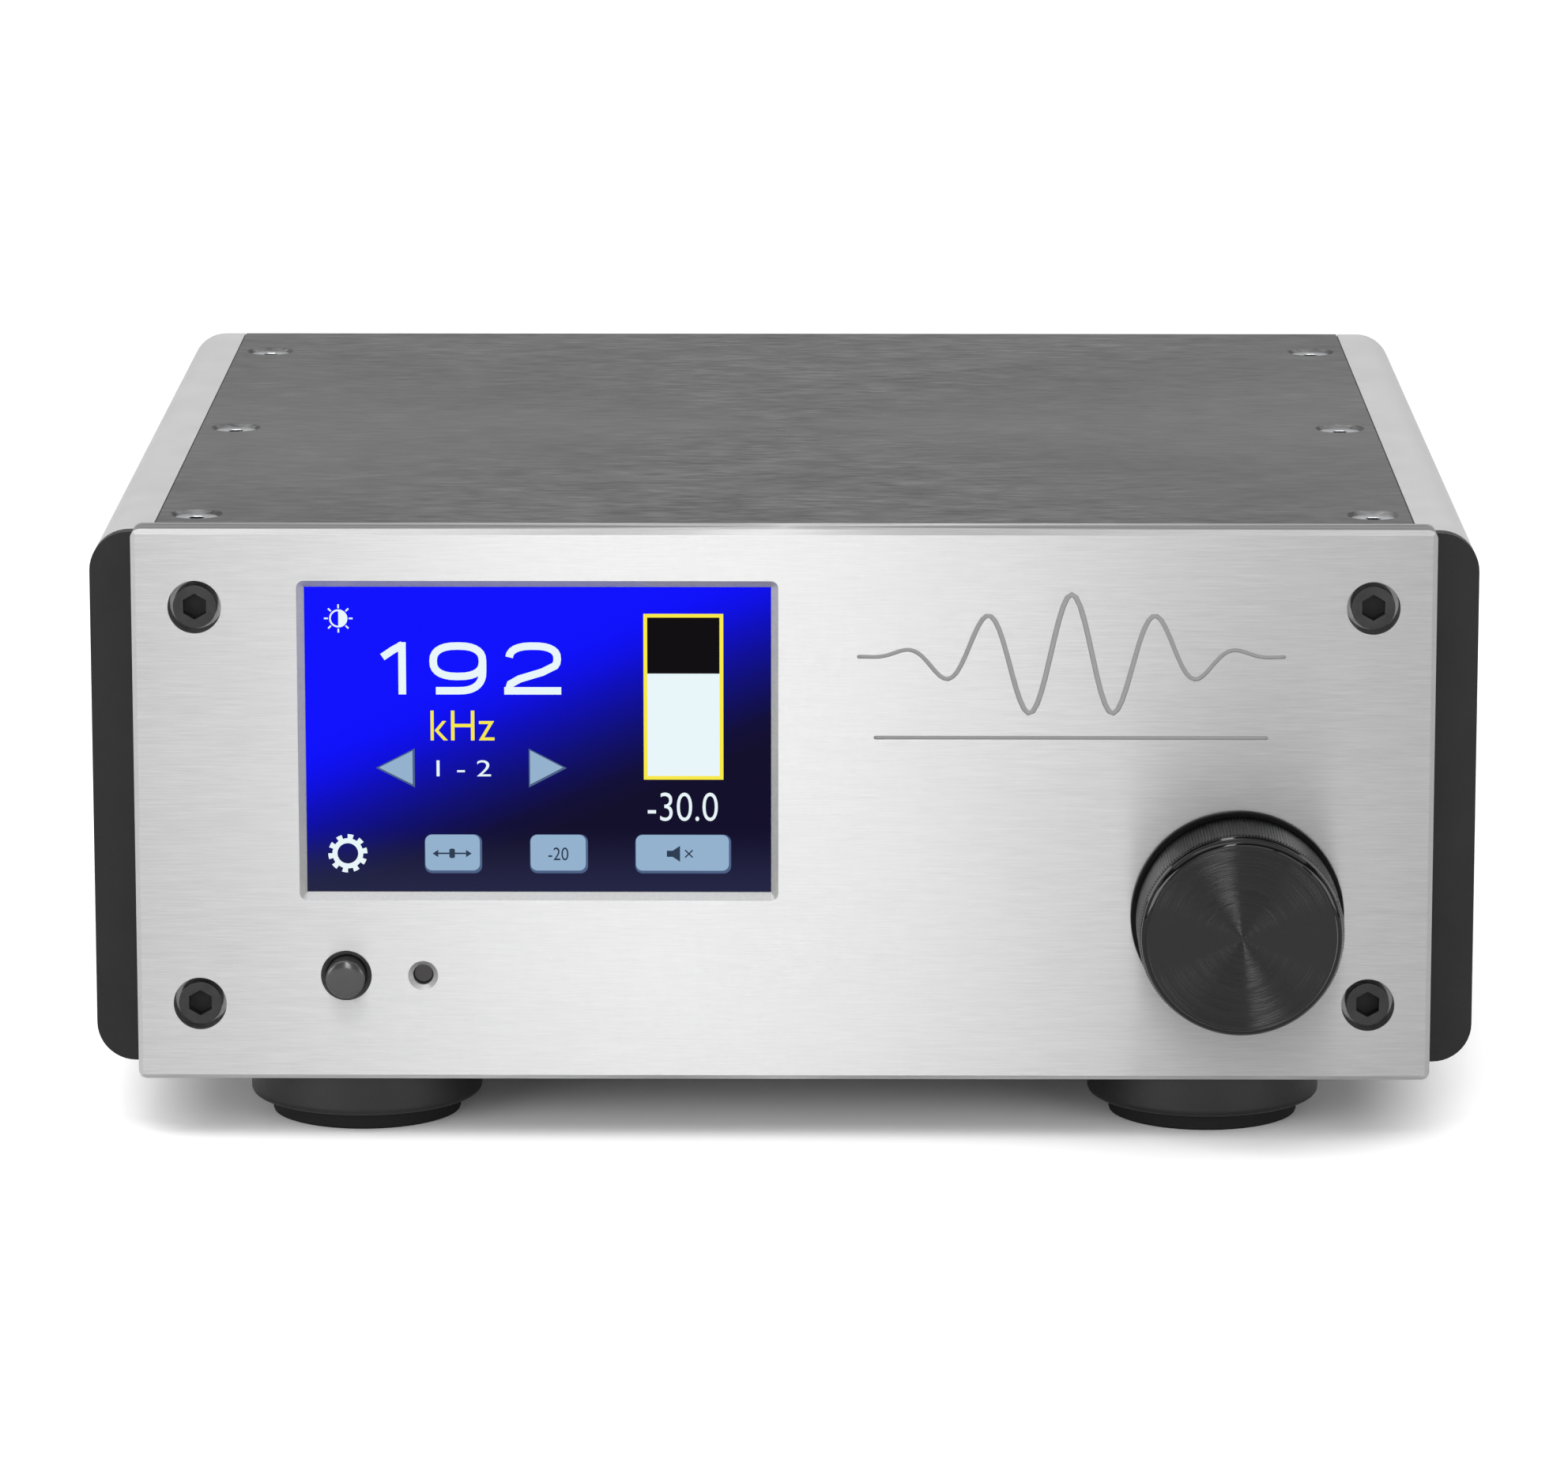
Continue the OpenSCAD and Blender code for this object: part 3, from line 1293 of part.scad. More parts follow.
xlr_input_sockets();
xlr_latch_left();
xlr_latch_right();
socket_screws();
phono_shells();
phono_housings();
phono_cores_left();
phono_cores_right();
phono_core_digital();
usb_socket();
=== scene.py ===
# %% [markdown]
# # A desktop audio converter, finished in Blender
#
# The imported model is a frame: sixty named parts in metres, each in its place. Blender's work is
# the surface of things: worn-smooth arrises, brushed and blasted metal, a knurled knob, a lit
# screen. Whatever the frame already shapes well gets its edges eased and a finish, and what
# needs a finer shape is modelled again at the same place and size.

# %% Load the frame
import json
import math
import bmesh
import bpy
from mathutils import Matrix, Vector

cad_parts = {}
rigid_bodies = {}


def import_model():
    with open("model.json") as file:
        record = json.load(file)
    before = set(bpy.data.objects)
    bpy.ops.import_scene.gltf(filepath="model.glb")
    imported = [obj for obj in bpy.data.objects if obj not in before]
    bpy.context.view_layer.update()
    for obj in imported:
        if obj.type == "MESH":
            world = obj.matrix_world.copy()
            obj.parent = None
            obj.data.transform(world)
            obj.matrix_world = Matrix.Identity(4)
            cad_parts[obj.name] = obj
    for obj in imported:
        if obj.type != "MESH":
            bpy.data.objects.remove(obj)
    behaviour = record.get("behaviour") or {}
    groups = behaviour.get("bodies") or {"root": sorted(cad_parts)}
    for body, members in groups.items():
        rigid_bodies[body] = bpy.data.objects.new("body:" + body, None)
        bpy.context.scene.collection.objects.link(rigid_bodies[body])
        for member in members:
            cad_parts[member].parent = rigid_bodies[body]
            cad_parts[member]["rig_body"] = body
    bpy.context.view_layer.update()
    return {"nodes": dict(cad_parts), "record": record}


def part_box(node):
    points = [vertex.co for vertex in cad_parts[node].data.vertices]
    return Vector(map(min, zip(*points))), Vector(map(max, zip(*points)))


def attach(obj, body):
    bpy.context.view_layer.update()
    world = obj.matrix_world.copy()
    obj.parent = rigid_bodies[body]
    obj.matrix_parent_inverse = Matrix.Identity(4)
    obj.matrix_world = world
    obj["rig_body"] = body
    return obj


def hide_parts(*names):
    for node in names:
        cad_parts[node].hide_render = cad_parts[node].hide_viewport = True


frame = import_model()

MM = 0.001

# %% [markdown]
# ## Camera
#
# A long lens from about one and a quarter metres, a little above the object, keeps the front
# nearly square and shows a narrow strip of the lid. The aim is a point on the front plate. A
# direction is easier to read as two angles than as a rotation, so the camera is placed by its
# distance back along its own line of sight.

# %% Camera
ELEVATION = math.radians(11.624)
YAW = math.radians(-0.352)
DISTANCE = 1.2484
AIM_X, AIM_Z = 0.00004, 0.06504
LENS = 181.55
SENSOR = 36
NEAREST = 0.05
forward = Vector((math.sin(YAW) * math.cos(ELEVATION),
                  math.cos(YAW) * math.cos(ELEVATION), -math.sin(ELEVATION)))
face_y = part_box("front_plate")[0].y
aim = Vector((AIM_X, face_y, AIM_Z))
bpy.ops.object.camera_add(location=aim - DISTANCE * forward,
                          rotation=forward.to_track_quat("-Z", "Y").to_euler())
camera = bpy.context.object
camera.name = "camera"
camera.data.lens = LENS
camera.data.sensor_width = SENSOR
camera.data.clip_start = NEAREST
bpy.context.scene.camera = camera
print("camera at", [round(v, 3) for v in camera.location])

# %% [markdown]
# ## Floor and light
#
# The floor is one pale sheet with no horizon in sight. Bare metal shows whatever stands around
# it, so the light is built from soft panels: a wide one overhead that burns the floor out to
# white, an upright strip in front that the brushed plate spreads into a glow over its middle,
# a narrow one high on the left for the glints on the knob, one behind for the lid, one on each
# side for the round rails, and a low pair that reaches in under the case. An even, dim world
# fills the rest. Small hard lamps would be simpler and would leave sharp spots on every edge.

# %% Floor and light
FLOOR_SIZE = 14
WORLD_GREY = 0.34
# name, place, what it faces, width, height, brightness
LIGHTS = [("overhead_light", (0, -0.2, 2.0), (0, -0.2, 0), 4.8, 4.2, 1.5),
          ("top_strip_light", (-0.5, -0.9, 1.8), (0, -0.1, 0.04), 1.5, 0.22, 7.0),
          ("front_light", (-0.07, -2.6, 0.9), (-0.02, -0.1, 0.05), 0.22, 1.8, 13.5),
          ("back_light", (0, 2.6, 0.9), (0, 0, 0.05), 3.0, 1.2, 0.3),
          ("left_light", (-1.7, 0.2, 0.5), (0, 0, 0.06), 0.9, 0.9, 2.4),
          ("right_light", (1.7, 0.2, 0.5), (0, 0, 0.06), 0.9, 0.9, 1.0),
          ("left_low_light", (-1.7, -1.8, 0.45), (0, -0.1, 0.0), 1.8, 0.8, 8.0),
          ("right_low_light", (1.7, -1.8, 0.45), (0, -0.1, 0.0), 1.8, 0.8, 6.0)]


def softbox(name, place, target, width, height, strength):
    """A soft rectangular light at place that faces target; strength is its brightness."""
    place = Vector(place)
    turn = (Vector(target) - place).to_track_quat("-Z", "Y").to_euler()
    bpy.ops.object.light_add(type="AREA", location=place, rotation=turn)
    lamp = bpy.context.object
    lamp.name = name
    lamp.data.shape = "RECTANGLE"
    lamp.data.size = width
    lamp.data.size_y = height
    lamp.data.energy = strength * math.pi * width * height
    lamp.visible_camera = False


bpy.ops.mesh.primitive_plane_add(size=FLOOR_SIZE, location=(0, 0, 0))
floor = bpy.context.object
floor.name = "floor"

for light in LIGHTS:
    softbox(*light)

world = bpy.data.worlds.new("studio")
bpy.context.scene.world = world
world.use_nodes = True
background = world.node_tree.nodes["Background"]
background.inputs["Color"].default_value = (WORLD_GREY, WORLD_GREY, WORLD_GREY, 1)
bpy.context.scene.view_settings.view_transform = "Standard"

# %% [markdown]
# ## Writing a finish
#
# A finish is a small sum: a base value, plus a little of this pattern, minus a little of that.
# Wiring Math nodes by hand hides the sum, so one class stands for a socket and lets Python's
# own signs add the nodes. Every other node comes from one method that takes the node's type,
# its settings and the values of its sockets.

# %% Sockets as numbers
class Wire:
    """One output of a finish. Adding, multiplying and so on make the Math nodes."""

    def __init__(self, finish, socket):
        self.finish = finish
        self.socket = socket

    def maths(self, operation, *values):
        return self.finish.node("Math", {"operation": operation}, dict(enumerate(values)))

    def __add__(self, other):
        return self.maths("ADD", self, other)

    def __radd__(self, other):
        return self.maths("ADD", other, self)

    def __sub__(self, other):
        return self.maths("SUBTRACT", self, other)

    def __rsub__(self, other):
        return self.maths("SUBTRACT", other, self)

    def __mul__(self, other):
        return self.maths("MULTIPLY", self, other)

    def __truediv__(self, other):
        return self.maths("DIVIDE", self, other)

    def __pow__(self, other):
        return self.maths("POWER", self, other)


class Finish:
    """A material under construction: a Principled shader and the nodes behind it."""

    def __init__(self, name, **constants):
        self.name = name
        self.material = bpy.data.materials.new(name)
        self.material.use_nodes = True
        self.tree = self.material.node_tree
        self.tree.nodes.clear()
        self.shader = self.tree.nodes.new("ShaderNodeBsdfPrincipled")
        surface = self.tree.nodes.new("ShaderNodeOutputMaterial")
        self.tree.links.new(self.shader.outputs["BSDF"], surface.inputs["Surface"])
        self.place = self.node("TexCoord", output="Object")
        for key, value in constants.items():
            self.give(key.replace("_", " ").title().replace("Ior", "IOR"), value)

    def join(self, value, socket):
        """Links a wire to a socket, or sets the socket to a constant."""
        if isinstance(value, Wire):
            self.tree.links.new(value.socket, socket)
        else:
            socket.default_value = value

    def node(self, kind, settings=None, inputs=None, output=0):
        """Adds a node and returns one of its outputs; stops are a colour ramp's colours."""
        made = self.tree.nodes.new("ShaderNode" + kind)
        for key, value in (settings or {}).items():
            if key == "stops":
                stops = made.color_ramp.elements
                while len(stops) < len(value):
                    stops.new(1.0)
                for stop, (position, colour) in zip(stops, value):
                    stop.position = position
                    stop.color = colour
            else:
                setattr(made, key, value)
        for key, value in (inputs or {}).items():
            self.join(value, made.inputs[key])
        return Wire(self, made.outputs[output])

    def give(self, socket, value):
        """Sets one input of the shader."""
        self.join(value, self.shader.inputs[socket])
        return self

    def axes(self):
        """The three coordinates of the point being shaded, in metres."""
        return [self.node("SeparateXYZ", inputs={0: self.place}, output=i) for i in range(3)]

    def grain(self, x, y, z, detail=2.0, roughness=0.5):
        """Noise from 0 to 1 whose specks are about x, y and z millimetres long."""
        scaled = self.node("VectorMath", {"operation": "MULTIPLY"},
                           {0: self.place, 1: (1000 / x, 1000 / y, 1000 / z)})
        return self.node("TexNoise", {}, {"Vector": scaled, "Scale": 1.0, "Detail": detail,
                                          "Roughness": roughness}, output="Fac")

    def mix(self, factor, a, b):
        """From colour a to colour b as factor goes from 0 to 1."""
        return self.node("Mix", {"data_type": "RGBA"}, {0: factor, 6: a, 7: b}, output=2)

    def steep(self, value, low, high):
        """0 below low, 1 above high, smooth between."""
        return self.node("MapRange", {"interpolation_type": "SMOOTHSTEP"},
                         {"Value": value, "From Min": low, "From Max": high})

    def relief(self, height, depth):
        """Bumps: height from 0 to 1 stands for depth millimetres."""
        bump = self.node("Bump", {}, {"Height": height, "Distance": depth * MM})
        return self.give("Normal", bump)

    def tint(self, amount, dark, light):
        """Base colour between dark and light; amount 0 stands for halfway."""
        return self.give("Base Color", self.mix(0.5 + amount, dark, light))


def shade(red, green=None, blue=None):
    """A colour as seen on a screen, 0 to 255, turned into the linear light Blender counts in."""
    green = red if green is None else green
    blue = red if blue is None else blue
    return tuple((v / 255 / 12.92) if v < 10 else ((v / 255 + 0.055) / 1.055) ** 2.4
                 for v in (red, green, blue)) + (1.0,)


paper = Finish("studio_floor", roughness=0.9)
paper.give("Base Color", paper.mix(paper.grain(60, 60, 60), shade(243), shade(246)))
floor.data.materials.append(paper.material)
print("floor finish has", len(paper.tree.nodes), "nodes")

# %% [markdown]
# ## Metals
#
# Three treatments cover the case. Brushing drags an abrasive one way and leaves scratches that
# are many times longer than wide: noise stretched along the stroke, in the colour, the
# roughness and the bumps. Blasting leaves a fine, even frost: round specks. Turning leaves
# rings round an axis. All three are then anodised, which only changes the colour. Painted
# image textures could do the same and would show their repeats; noise on the object's own
# coordinates has the right size everywhere.

# %% Metal finishes
def brushed(name, dark, light, stroke, width, depth, pull):
    """Metal brushed along X, in strokes of this length, width and depth; pull smears glints."""
    finish = Finish(name, metallic=1.0, anisotropic=pull, anisotropic_rotation=0.25)
    fine = finish.grain(stroke, width, width, detail=3.0, roughness=0.65)
    bands = finish.grain(stroke * 2.4, width * 7, width * 7)
    cloud = finish.grain(40, 40, 40)
    finish.tint((fine - 0.5) * 1.5 + (bands - 0.5) * 0.5 + (cloud - 0.5) * 0.25, dark, light)
    finish.give("Roughness", 0.4 + (fine - 0.5) * 0.16 + (bands - 0.5) * 0.06)
    return finish.relief(fine, depth)


def blasted(name, dark, light, roughness):
    """Bead-blasted and anodised metal."""
    finish = Finish(name, metallic=1.0)
    fine = finish.grain(0.14, 0.14, 0.14)
    cloud = finish.grain(9, 9, 9, detail=3.0)
    finish.tint((fine - 0.5) * 0.9 + (cloud - 0.5) * 0.6, dark, light)
    finish.give("Roughness", roughness + (fine - 0.5) * 0.12 + (cloud - 0.5) * 0.08)
    return finish.relief(fine, 0.008)


def plated(name, dark, light, roughness):
    """Rolled or plated metal: faint clouds and fine handling marks."""
    finish = Finish(name, metallic=1.0)
    marks = finish.grain(1.2, 0.12, 1.2, detail=4.0, roughness=0.7)
    cloud = finish.grain(3, 3, 3, detail=3.0)
    finish.tint((marks - 0.5) * 0.6 + (cloud - 0.5) * 0.9, dark, light)
    finish.give("Roughness", roughness + (marks - 0.5) * 0.2 + (cloud - 0.5) * 0.1)
    return finish.relief(marks, 0.004)


METALS = [
    brushed("brushed_aluminium", shade(149), shade(169), stroke=7, width=0.2, depth=0.012,
            pull=1.0),
    brushed("dark_aluminium", shade(34), shade(128), stroke=6, width=1.2, depth=0.04, pull=0.5),
    blasted("satin_aluminium", shade(206), shade(220), 0.42),
    blasted("black_aluminium", shade(34), shade(44), 0.45),
    plated("black_steel", shade(40), shade(58), 0.34),
    plated("zinc_steel", shade(196, 198, 200), shade(222, 224, 226), 0.3),
    plated("tinned_steel", shade(176, 178, 180), shade(204, 206, 208), 0.36),
    plated("gold_plate", shade(226, 182, 96), shade(246, 208, 128), 0.22),
]
FINISHES = {finish.name: finish for finish in METALS}
print(len(FINISHES), "metals")

# %% [markdown]
# ## Plastics, rubber and the rest
#
# Moulded plastic takes its skin from a spark-eroded mould, so it has a soft pebbled relief and
# almost no change of colour. Rubber is duller and more clouded. Circuit boards, tape and
# sleeves each carry one pattern of their own; they are inside the case, where a simple formula
# is enough.

# %% Plastic finishes
def moulded(name, dark, light, roughness, pebble=0.35, depth=0.012, **more):
    """Moulded plastic with a pebbled skin."""
    finish = Finish(name, **more)
    pebbles = finish.grain(pebble, pebble, pebble)
    cloud = finish.grain(5, 5, 5)
    finish.tint((pebbles - 0.5) * 0.4 + (cloud - 0.5) * 0.8, dark, light)
    finish.give("Roughness", roughness + (pebbles - 0.5) * 0.15 + (cloud - 0.5) * 0.1)
    return finish.relief(pebbles, depth)


def striped(name, dark, light, roughness, axis, pitch, depth=0.05):
    """Insulation or tape whose ribs repeat every pitch millimetres along an axis."""
    finish = Finish(name)
    turns = finish.axes()[axis] * (2 * math.pi / (pitch * MM))
    wave = turns.maths("SINE", turns)
    ribs = wave * 0.5 + 0.5
    dust = finish.grain(1.5, 1.5, 1.5, detail=3.0)
    finish.give("Base Color", finish.mix(ribs * 0.6 + dust * 0.4, dark, light))
    finish.give("Roughness", roughness + (dust - 0.5) * 0.2)
    return finish.relief(ribs, depth)


PLASTICS = [
    moulded("rubber", shade(8), shade(16), 0.8, pebble=0.5, depth=0.02, specular_ior_level=0.2),
    moulded("black_plastic", shade(24), shade(36), 0.42),
    moulded("white_plastic", shade(228, 226, 220), shade(240, 238, 234), 0.36),
    moulded("red_plastic", shade(150, 24, 22), shade(178, 34, 30), 0.36),
    moulded("orange_plastic", shade(206, 104, 20), shade(226, 124, 34), 0.36),
    moulded("lens_plastic", shade(14, 10, 12), shade(24, 16, 20), 0.14, depth=0.001),
    moulded("capacitor_sleeve", shade(18, 28, 58), shade(28, 40, 78), 0.3, depth=0.003),
    moulded("circuit_board", shade(16, 62, 34), shade(26, 84, 46), 0.32, pebble=1.2, depth=0.02),
    striped("winding_tape", shade(190, 150, 60), shade(226, 186, 96), 0.45, 2, 3.0),
    striped("wire_insulation", shade(96, 40, 26), shade(132, 60, 38), 0.4, 1, 0.8, 0.01),
    striped("ribbon_insulation", shade(120), shade(168), 0.5, 0, 1.27),
    moulded("glass_fuse", shade(200, 206, 204), shade(224, 228, 226), 0.1, depth=0.001,
            transmission_weight=0.6),
]
FINISHES.update({finish.name: finish for finish in PLASTICS})
print(len(FINISHES), "finishes so far")

# %% [markdown]
# ## The lit screen
#
# The display shows a picture: a deep blue that falls off along a slanting line to near black,
# and a faint lighter veil at the lower edge. The picture is light and not paint, so it goes
# into the emission, and the glass over it keeps only a weak reflection. The slant is one sum of
# the distances from the top and left edges, and a colour ramp turns that sum into the fall-off.

# %% Screen finish
glass_lo, glass_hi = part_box("display_glass")
SCREEN_W = 73.5 * MM
SCREEN_H = 49.0 * MM
BLACK = (0.0, 0.0, 0.0, 1.0)
FAINT = 0.02
screen_left = (glass_lo.x + glass_hi.x) / 2 - SCREEN_W / 2
screen_top = (glass_lo.z + glass_hi.z) / 2 + SCREEN_H / 2

screen = Finish("screen", base_color=BLACK, specular_ior_level=FAINT, emission_strength=1.0)
across, _, up = screen.axes()
from_left = (across - screen_left) / MM
from_top = (screen_top - up) / MM
SLANT = 0.42
RAMP_LENGTH = 80
FALL_OFF = [(24, shade(10, 13, 253)), (28.5, shade(8, 11, 247)), (32, shade(8, 10, 226)),
            (36, shade(8, 9, 188)), (40, shade(9, 9, 152)), (44, shade(10, 10, 116)),
            (48, shade(11, 9, 84)), (51.5, shade(13, 9, 56)), (56, shade(14, 9, 42))]
VEIL_STARTS, VEIL_ENDS = 38, 50
along_ramp = (from_top + from_left * SLANT) / RAMP_LENGTH
stops = [(distance / RAMP_LENGTH, colour) for distance, colour in FALL_OFF]
blue = screen.node("ValToRGB", {"stops": stops}, {0: along_ramp})
veil = screen.steep(from_top, VEIL_STARTS, VEIL_ENDS)
picture = screen.mix(veil, blue, shade(34, 36, 68))
shimmer = screen.grain(0.5, 0.5, 0.5)
screen.give("Emission Color", picture)
screen.give("Roughness", 0.18 + (shimmer - 0.5) * 0.04)
FINISHES["screen"] = screen


def lamp(name, colour):
    """Light from a patch of the screen that shows one colour."""
    finish = Finish(name, base_color=BLACK, specular_ior_level=FAINT, emission_strength=1.0)
    dots = finish.grain(0.15, 0.15, 0.15)
    dimmer = tuple(v * 0.93 for v in colour[:3]) + (1.0,)
    finish.give("Emission Color", finish.mix(dots, colour, dimmer))
    return finish.give("Roughness", 0.2 + (dots - 0.5) * 0.05)


LAMP_COLOURS = {"white_light": (236, 249, 253), "yellow_light": (252, 236, 74),
                "key_light": (150, 180, 209), "key_shadow": (78, 98, 136),
                "dark_light": (12, 8, 13), "key_print": (46, 62, 84)}
LAMPS = {name: lamp(name, shade(*colour)) for name, colour in LAMP_COLOURS.items()}
print("screen", [round(v / MM, 1) for v in (screen_left, screen_top)])

# %% [markdown]
# ## Easing the edges of the frame's parts
#
# No machined edge is perfectly sharp: a deburred arris of a tenth or two of a millimetre
# catches a thin line of light, and its absence is what makes a model look like a model. A CAD
# part arrives as loose triangles, so a copy is merged, its flat faces are joined back
# together, and a Bevel modifier eases the corners. Weighted normals keep the large faces flat
# to the eye beside their small bevels. The copy stands in for the CAD part.

# %% Copies with eased edges
MERGE_WITHIN = 0.000002
FLAT_WITHIN = math.radians(0.6)


def let_go():
    """Nothing selected and nothing active, so the next operator has only its own piece."""
    if bpy.context.object and bpy.context.object.mode == "EDIT":
        bpy.ops.object.mode_set(mode="OBJECT")
    bpy.ops.object.select_all(action="DESELECT")
    bpy.context.view_layer.objects.active = None


def take(piece):
    """Selects one piece and makes it active."""
    let_go()
    piece.select_set(True)
    bpy.context.view_layer.objects.active = piece
    return piece


def edit(piece):
    """Opens one piece in edit mode with all of it selected."""
    take(piece)
    bpy.ops.object.mode_set(mode="EDIT")
    bpy.ops.mesh.select_all(action="SELECT")


def leave():
    """Back to object mode."""
    bpy.ops.object.mode_set(mode="OBJECT")


def close_skin():
    """Makes the open piece's normals point outwards and leaves edit mode."""
    bpy.ops.mesh.select_all(action="SELECT")
    bpy.ops.mesh.normals_make_consistent(inside=False)
    leave()


def finish_piece(piece, node, slot, finish=None):
    """Gives a piece its finish, body and material slot, and lets it stand for its CAD node."""
    body = frame["nodes"][node]["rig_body"]
    piece.data.materials.clear()
    piece.data.materials.append((finish or FINISHES[slot]).material)
    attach(piece, body)
    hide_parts(node)
    return piece


def apply_modifier(piece, kind, **settings):
    """Adds a modifier with these settings and applies it."""
    take(piece)
    modifier = piece.modifiers.new(kind.lower(), kind)
    for key, value in settings.items():
        setattr(modifier, key, value)
    bpy.ops.object.modifier_apply(modifier=modifier.name)


def soften(piece, arris, segments=2, angle=32):
    """Eases the corners of a closed piece and keeps its flat faces flat."""
    take(piece)
    bpy.ops.object.shade_smooth_by_angle(angle=math.radians(angle))
    if arris:
        apply_modifier(piece, "BEVEL", width=arris * MM, segments=segments, limit_method="ANGLE",
                       angle_limit=math.radians(angle), use_clamp_overlap=True)
        take(piece)
        bpy.ops.object.shade_smooth_by_angle(angle=math.radians(angle))
    apply_modifier(piece, "WEIGHTED_NORMAL", weight=100, keep_sharp=True)
    return piece


def copied(piece, name):
    """A copy with its own mesh."""
    let_go()
    twin = piece.copy()
    twin.data = piece.data.copy()
    for key in list(twin.keys()):
        del twin[key]
    twin.parent = None
    twin.name = name
    bpy.context.scene.collection.objects.link(twin)
    return twin


def merged_copy(node):
    """A copy of a CAD node, with its triangles merged and its flat faces joined."""
    piece = copied(frame["nodes"][node], node + "_finished")
    edit(piece)
    bpy.ops.mesh.customdata_custom_splitnormals_clear()
    bpy.ops.mesh.remove_doubles(threshold=MERGE_WITHIN)
    bpy.ops.mesh.dissolve_limited(angle_limit=FLAT_WITHIN)
    leave()
    return piece


def eased(node, slot, arris, segments=2):
    """A finished copy of a CAD node, with its corners eased by arris millimetres."""
    piece = soften(merged_copy(node), arris, segments)
    print(f"{node}: {len(piece.data.polygons)} faces, arris {arris} mm")
    return finish_piece(piece, node, slot)


# %% [markdown]
# ## The case
#
# The front plate is thick aluminium brushed across its width and left bright. Behind it
# stands a black sub-panel, then two satin rails with round outer edges that carry the dark
# brushed lid, the base plate and the rear panel. All are flat work, so the frame's shapes are
# right and only their edges need easing.

# %% Case
CASE = [("front_plate", "brushed_aluminium", 0.12), ("front_subpanel", "black_aluminium", 0.25),
        ("side_rail_left", "satin_aluminium", 0.15), ("side_rail_right", "satin_aluminium", 0.15),
        ("top_cover", "dark_aluminium", 0.2), ("base_plate", "black_aluminium", 0.2),
        ("rear_panel", "black_aluminium", 0.2)]
for node, slot, arris in CASE:
    eased(node, slot, arris)

# %% [markdown]
# A cutter leaves its own surface where it goes through the brushing: the floor of the engraved
# line is dull, and the countersinks, the counterbores and the window's bevel are smoother but
# without the long strokes. So the faces below the plate's face take two more finishes. They
# are found by their depth and their place.

# %% Cut faces of the plate
def cut_metal(name, dark, light, roughness, grain):
    """Aluminium as an end mill leaves it: even, with small chatter marks."""
    finish = Finish(name, metallic=1.0)
    chatter = finish.grain(grain, grain, grain, detail=3.0)
    finish.give("Base Color", finish.mix(chatter, dark, light))
    finish.give("Roughness", roughness + (chatter - 0.5) * 0.2)
    return finish.relief(chatter, 0.012)


EDGE_STRIP = 1.2
SKIN = 0.02
GROOVE_DEPTH = 0.36
ENGRAVED_X, ENGRAVED_Z = 0.008, 0.06
ENGRAVED_IN = 10
plate = bpy.data.objects["front_plate_finished"]
plate_lo, plate_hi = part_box("front_plate")
groove = cut_metal("milled_groove", shade(120), shade(146), 0.62, 0.3)
cut = cut_metal("cut_edges", shade(146), shade(170), 0.46, 0.5)
plate.data.materials.append(groove.material)
plate.data.materials.append(cut.material)
counts = [0, 0, 0]
for face in plate.data.polygons:
    depth = (face.center.y - plate_lo.y) / MM
    from_side = (plate_hi.x - abs(face.center.x)) / MM
    from_ends = min(plate_hi.z - face.center.z, face.center.z - plate_lo.z) / MM
    inside = min(from_side, from_ends) > EDGE_STRIP and depth > SKIN
    engraved = (depth < GROOVE_DEPTH and from_side > ENGRAVED_IN
                and face.center.x > ENGRAVED_X and face.center.z > ENGRAVED_Z)
    face.material_index = (1 if engraved else 2) if inside else 0
    counts[face.material_index] += 1
print("brushed, engraved and cut faces", counts)

# %% [markdown]
# ## Turned pieces
#
# The knob, the power button and the feet come off a lathe. A Spin of a drawn profile would
# make them; stacking rings does the same and lets one ring be changed before the next is
# added. So a turned piece starts as a filled circle of the right size, and every further ring
# is an extrusion that is then scaled about the axis. The last face closes it.

# %% Rings on a lathe
def choose(kind, test):
    """Selects, in edit mode, the verts, edges or faces that pass the test; returns how many."""
    mesh = bmesh.from_edit_mesh(bpy.context.edit_object.data)
    bpy.ops.mesh.select_all(action="DESELECT")
    bpy.ops.mesh.select_mode(type=kind.upper()[:-1])
    found = 0
    for item in getattr(mesh, kind):
        if test(item):
            item.select_set(True)
            found += 1
    mesh.select_flush_mode()
    bmesh.update_edit_mesh(bpy.context.edit_object.data)
    return found


def turned(name, axis, centre, rings, sides=96):
    """A piece turned about an axis, Y or Z, through centre; rings are (radius, place) in mm."""
    let_go()
    along = Vector((0, 1, 0)) if axis == "Y" else Vector((0, 0, 1))
    tilt = (math.radians(90), 0, 0) if axis == "Y" else (0, 0, 0)
    centre = Vector(centre)
    radius, place = rings[0]
    bpy.ops.mesh.primitive_circle_add(vertices=sides, radius=radius * MM, fill_type="NGON",
                                      location=centre + along * place * MM, rotation=tilt)
    piece = bpy.context.object
    piece.name = name
    bpy.ops.object.transform_apply(location=True, rotation=True, scale=True)
    edit(piece)
    bpy.ops.mesh.select_mode(type="FACE")
    bpy.ops.mesh.select_all(action="SELECT")
    for (old_radius, old_place), (new_radius, new_place) in zip(rings, rings[1:]):
        step = tuple(along * (new_place - old_place) * MM)
        bpy.ops.mesh.extrude_region_move(TRANSFORM_OT_translate={"value": step})
        grow = new_radius / old_radius
        bpy.ops.transform.resize(value=(grow, 1, grow) if axis == "Y" else (grow, grow, 1),
                                 center_override=tuple(centre + along * new_place * MM))
    close_skin()
    return piece


def rounded(radius, place, size, steps, turn=1):
    """Rings of a quarter round: from (radius, place) inwards by size, and along by turn * size."""
    return [(radius - size * (1 - math.cos(math.radians(90 * i / steps))),
             place + turn * size * math.sin(math.radians(90 * i / steps)))
            for i in range(steps + 1)]


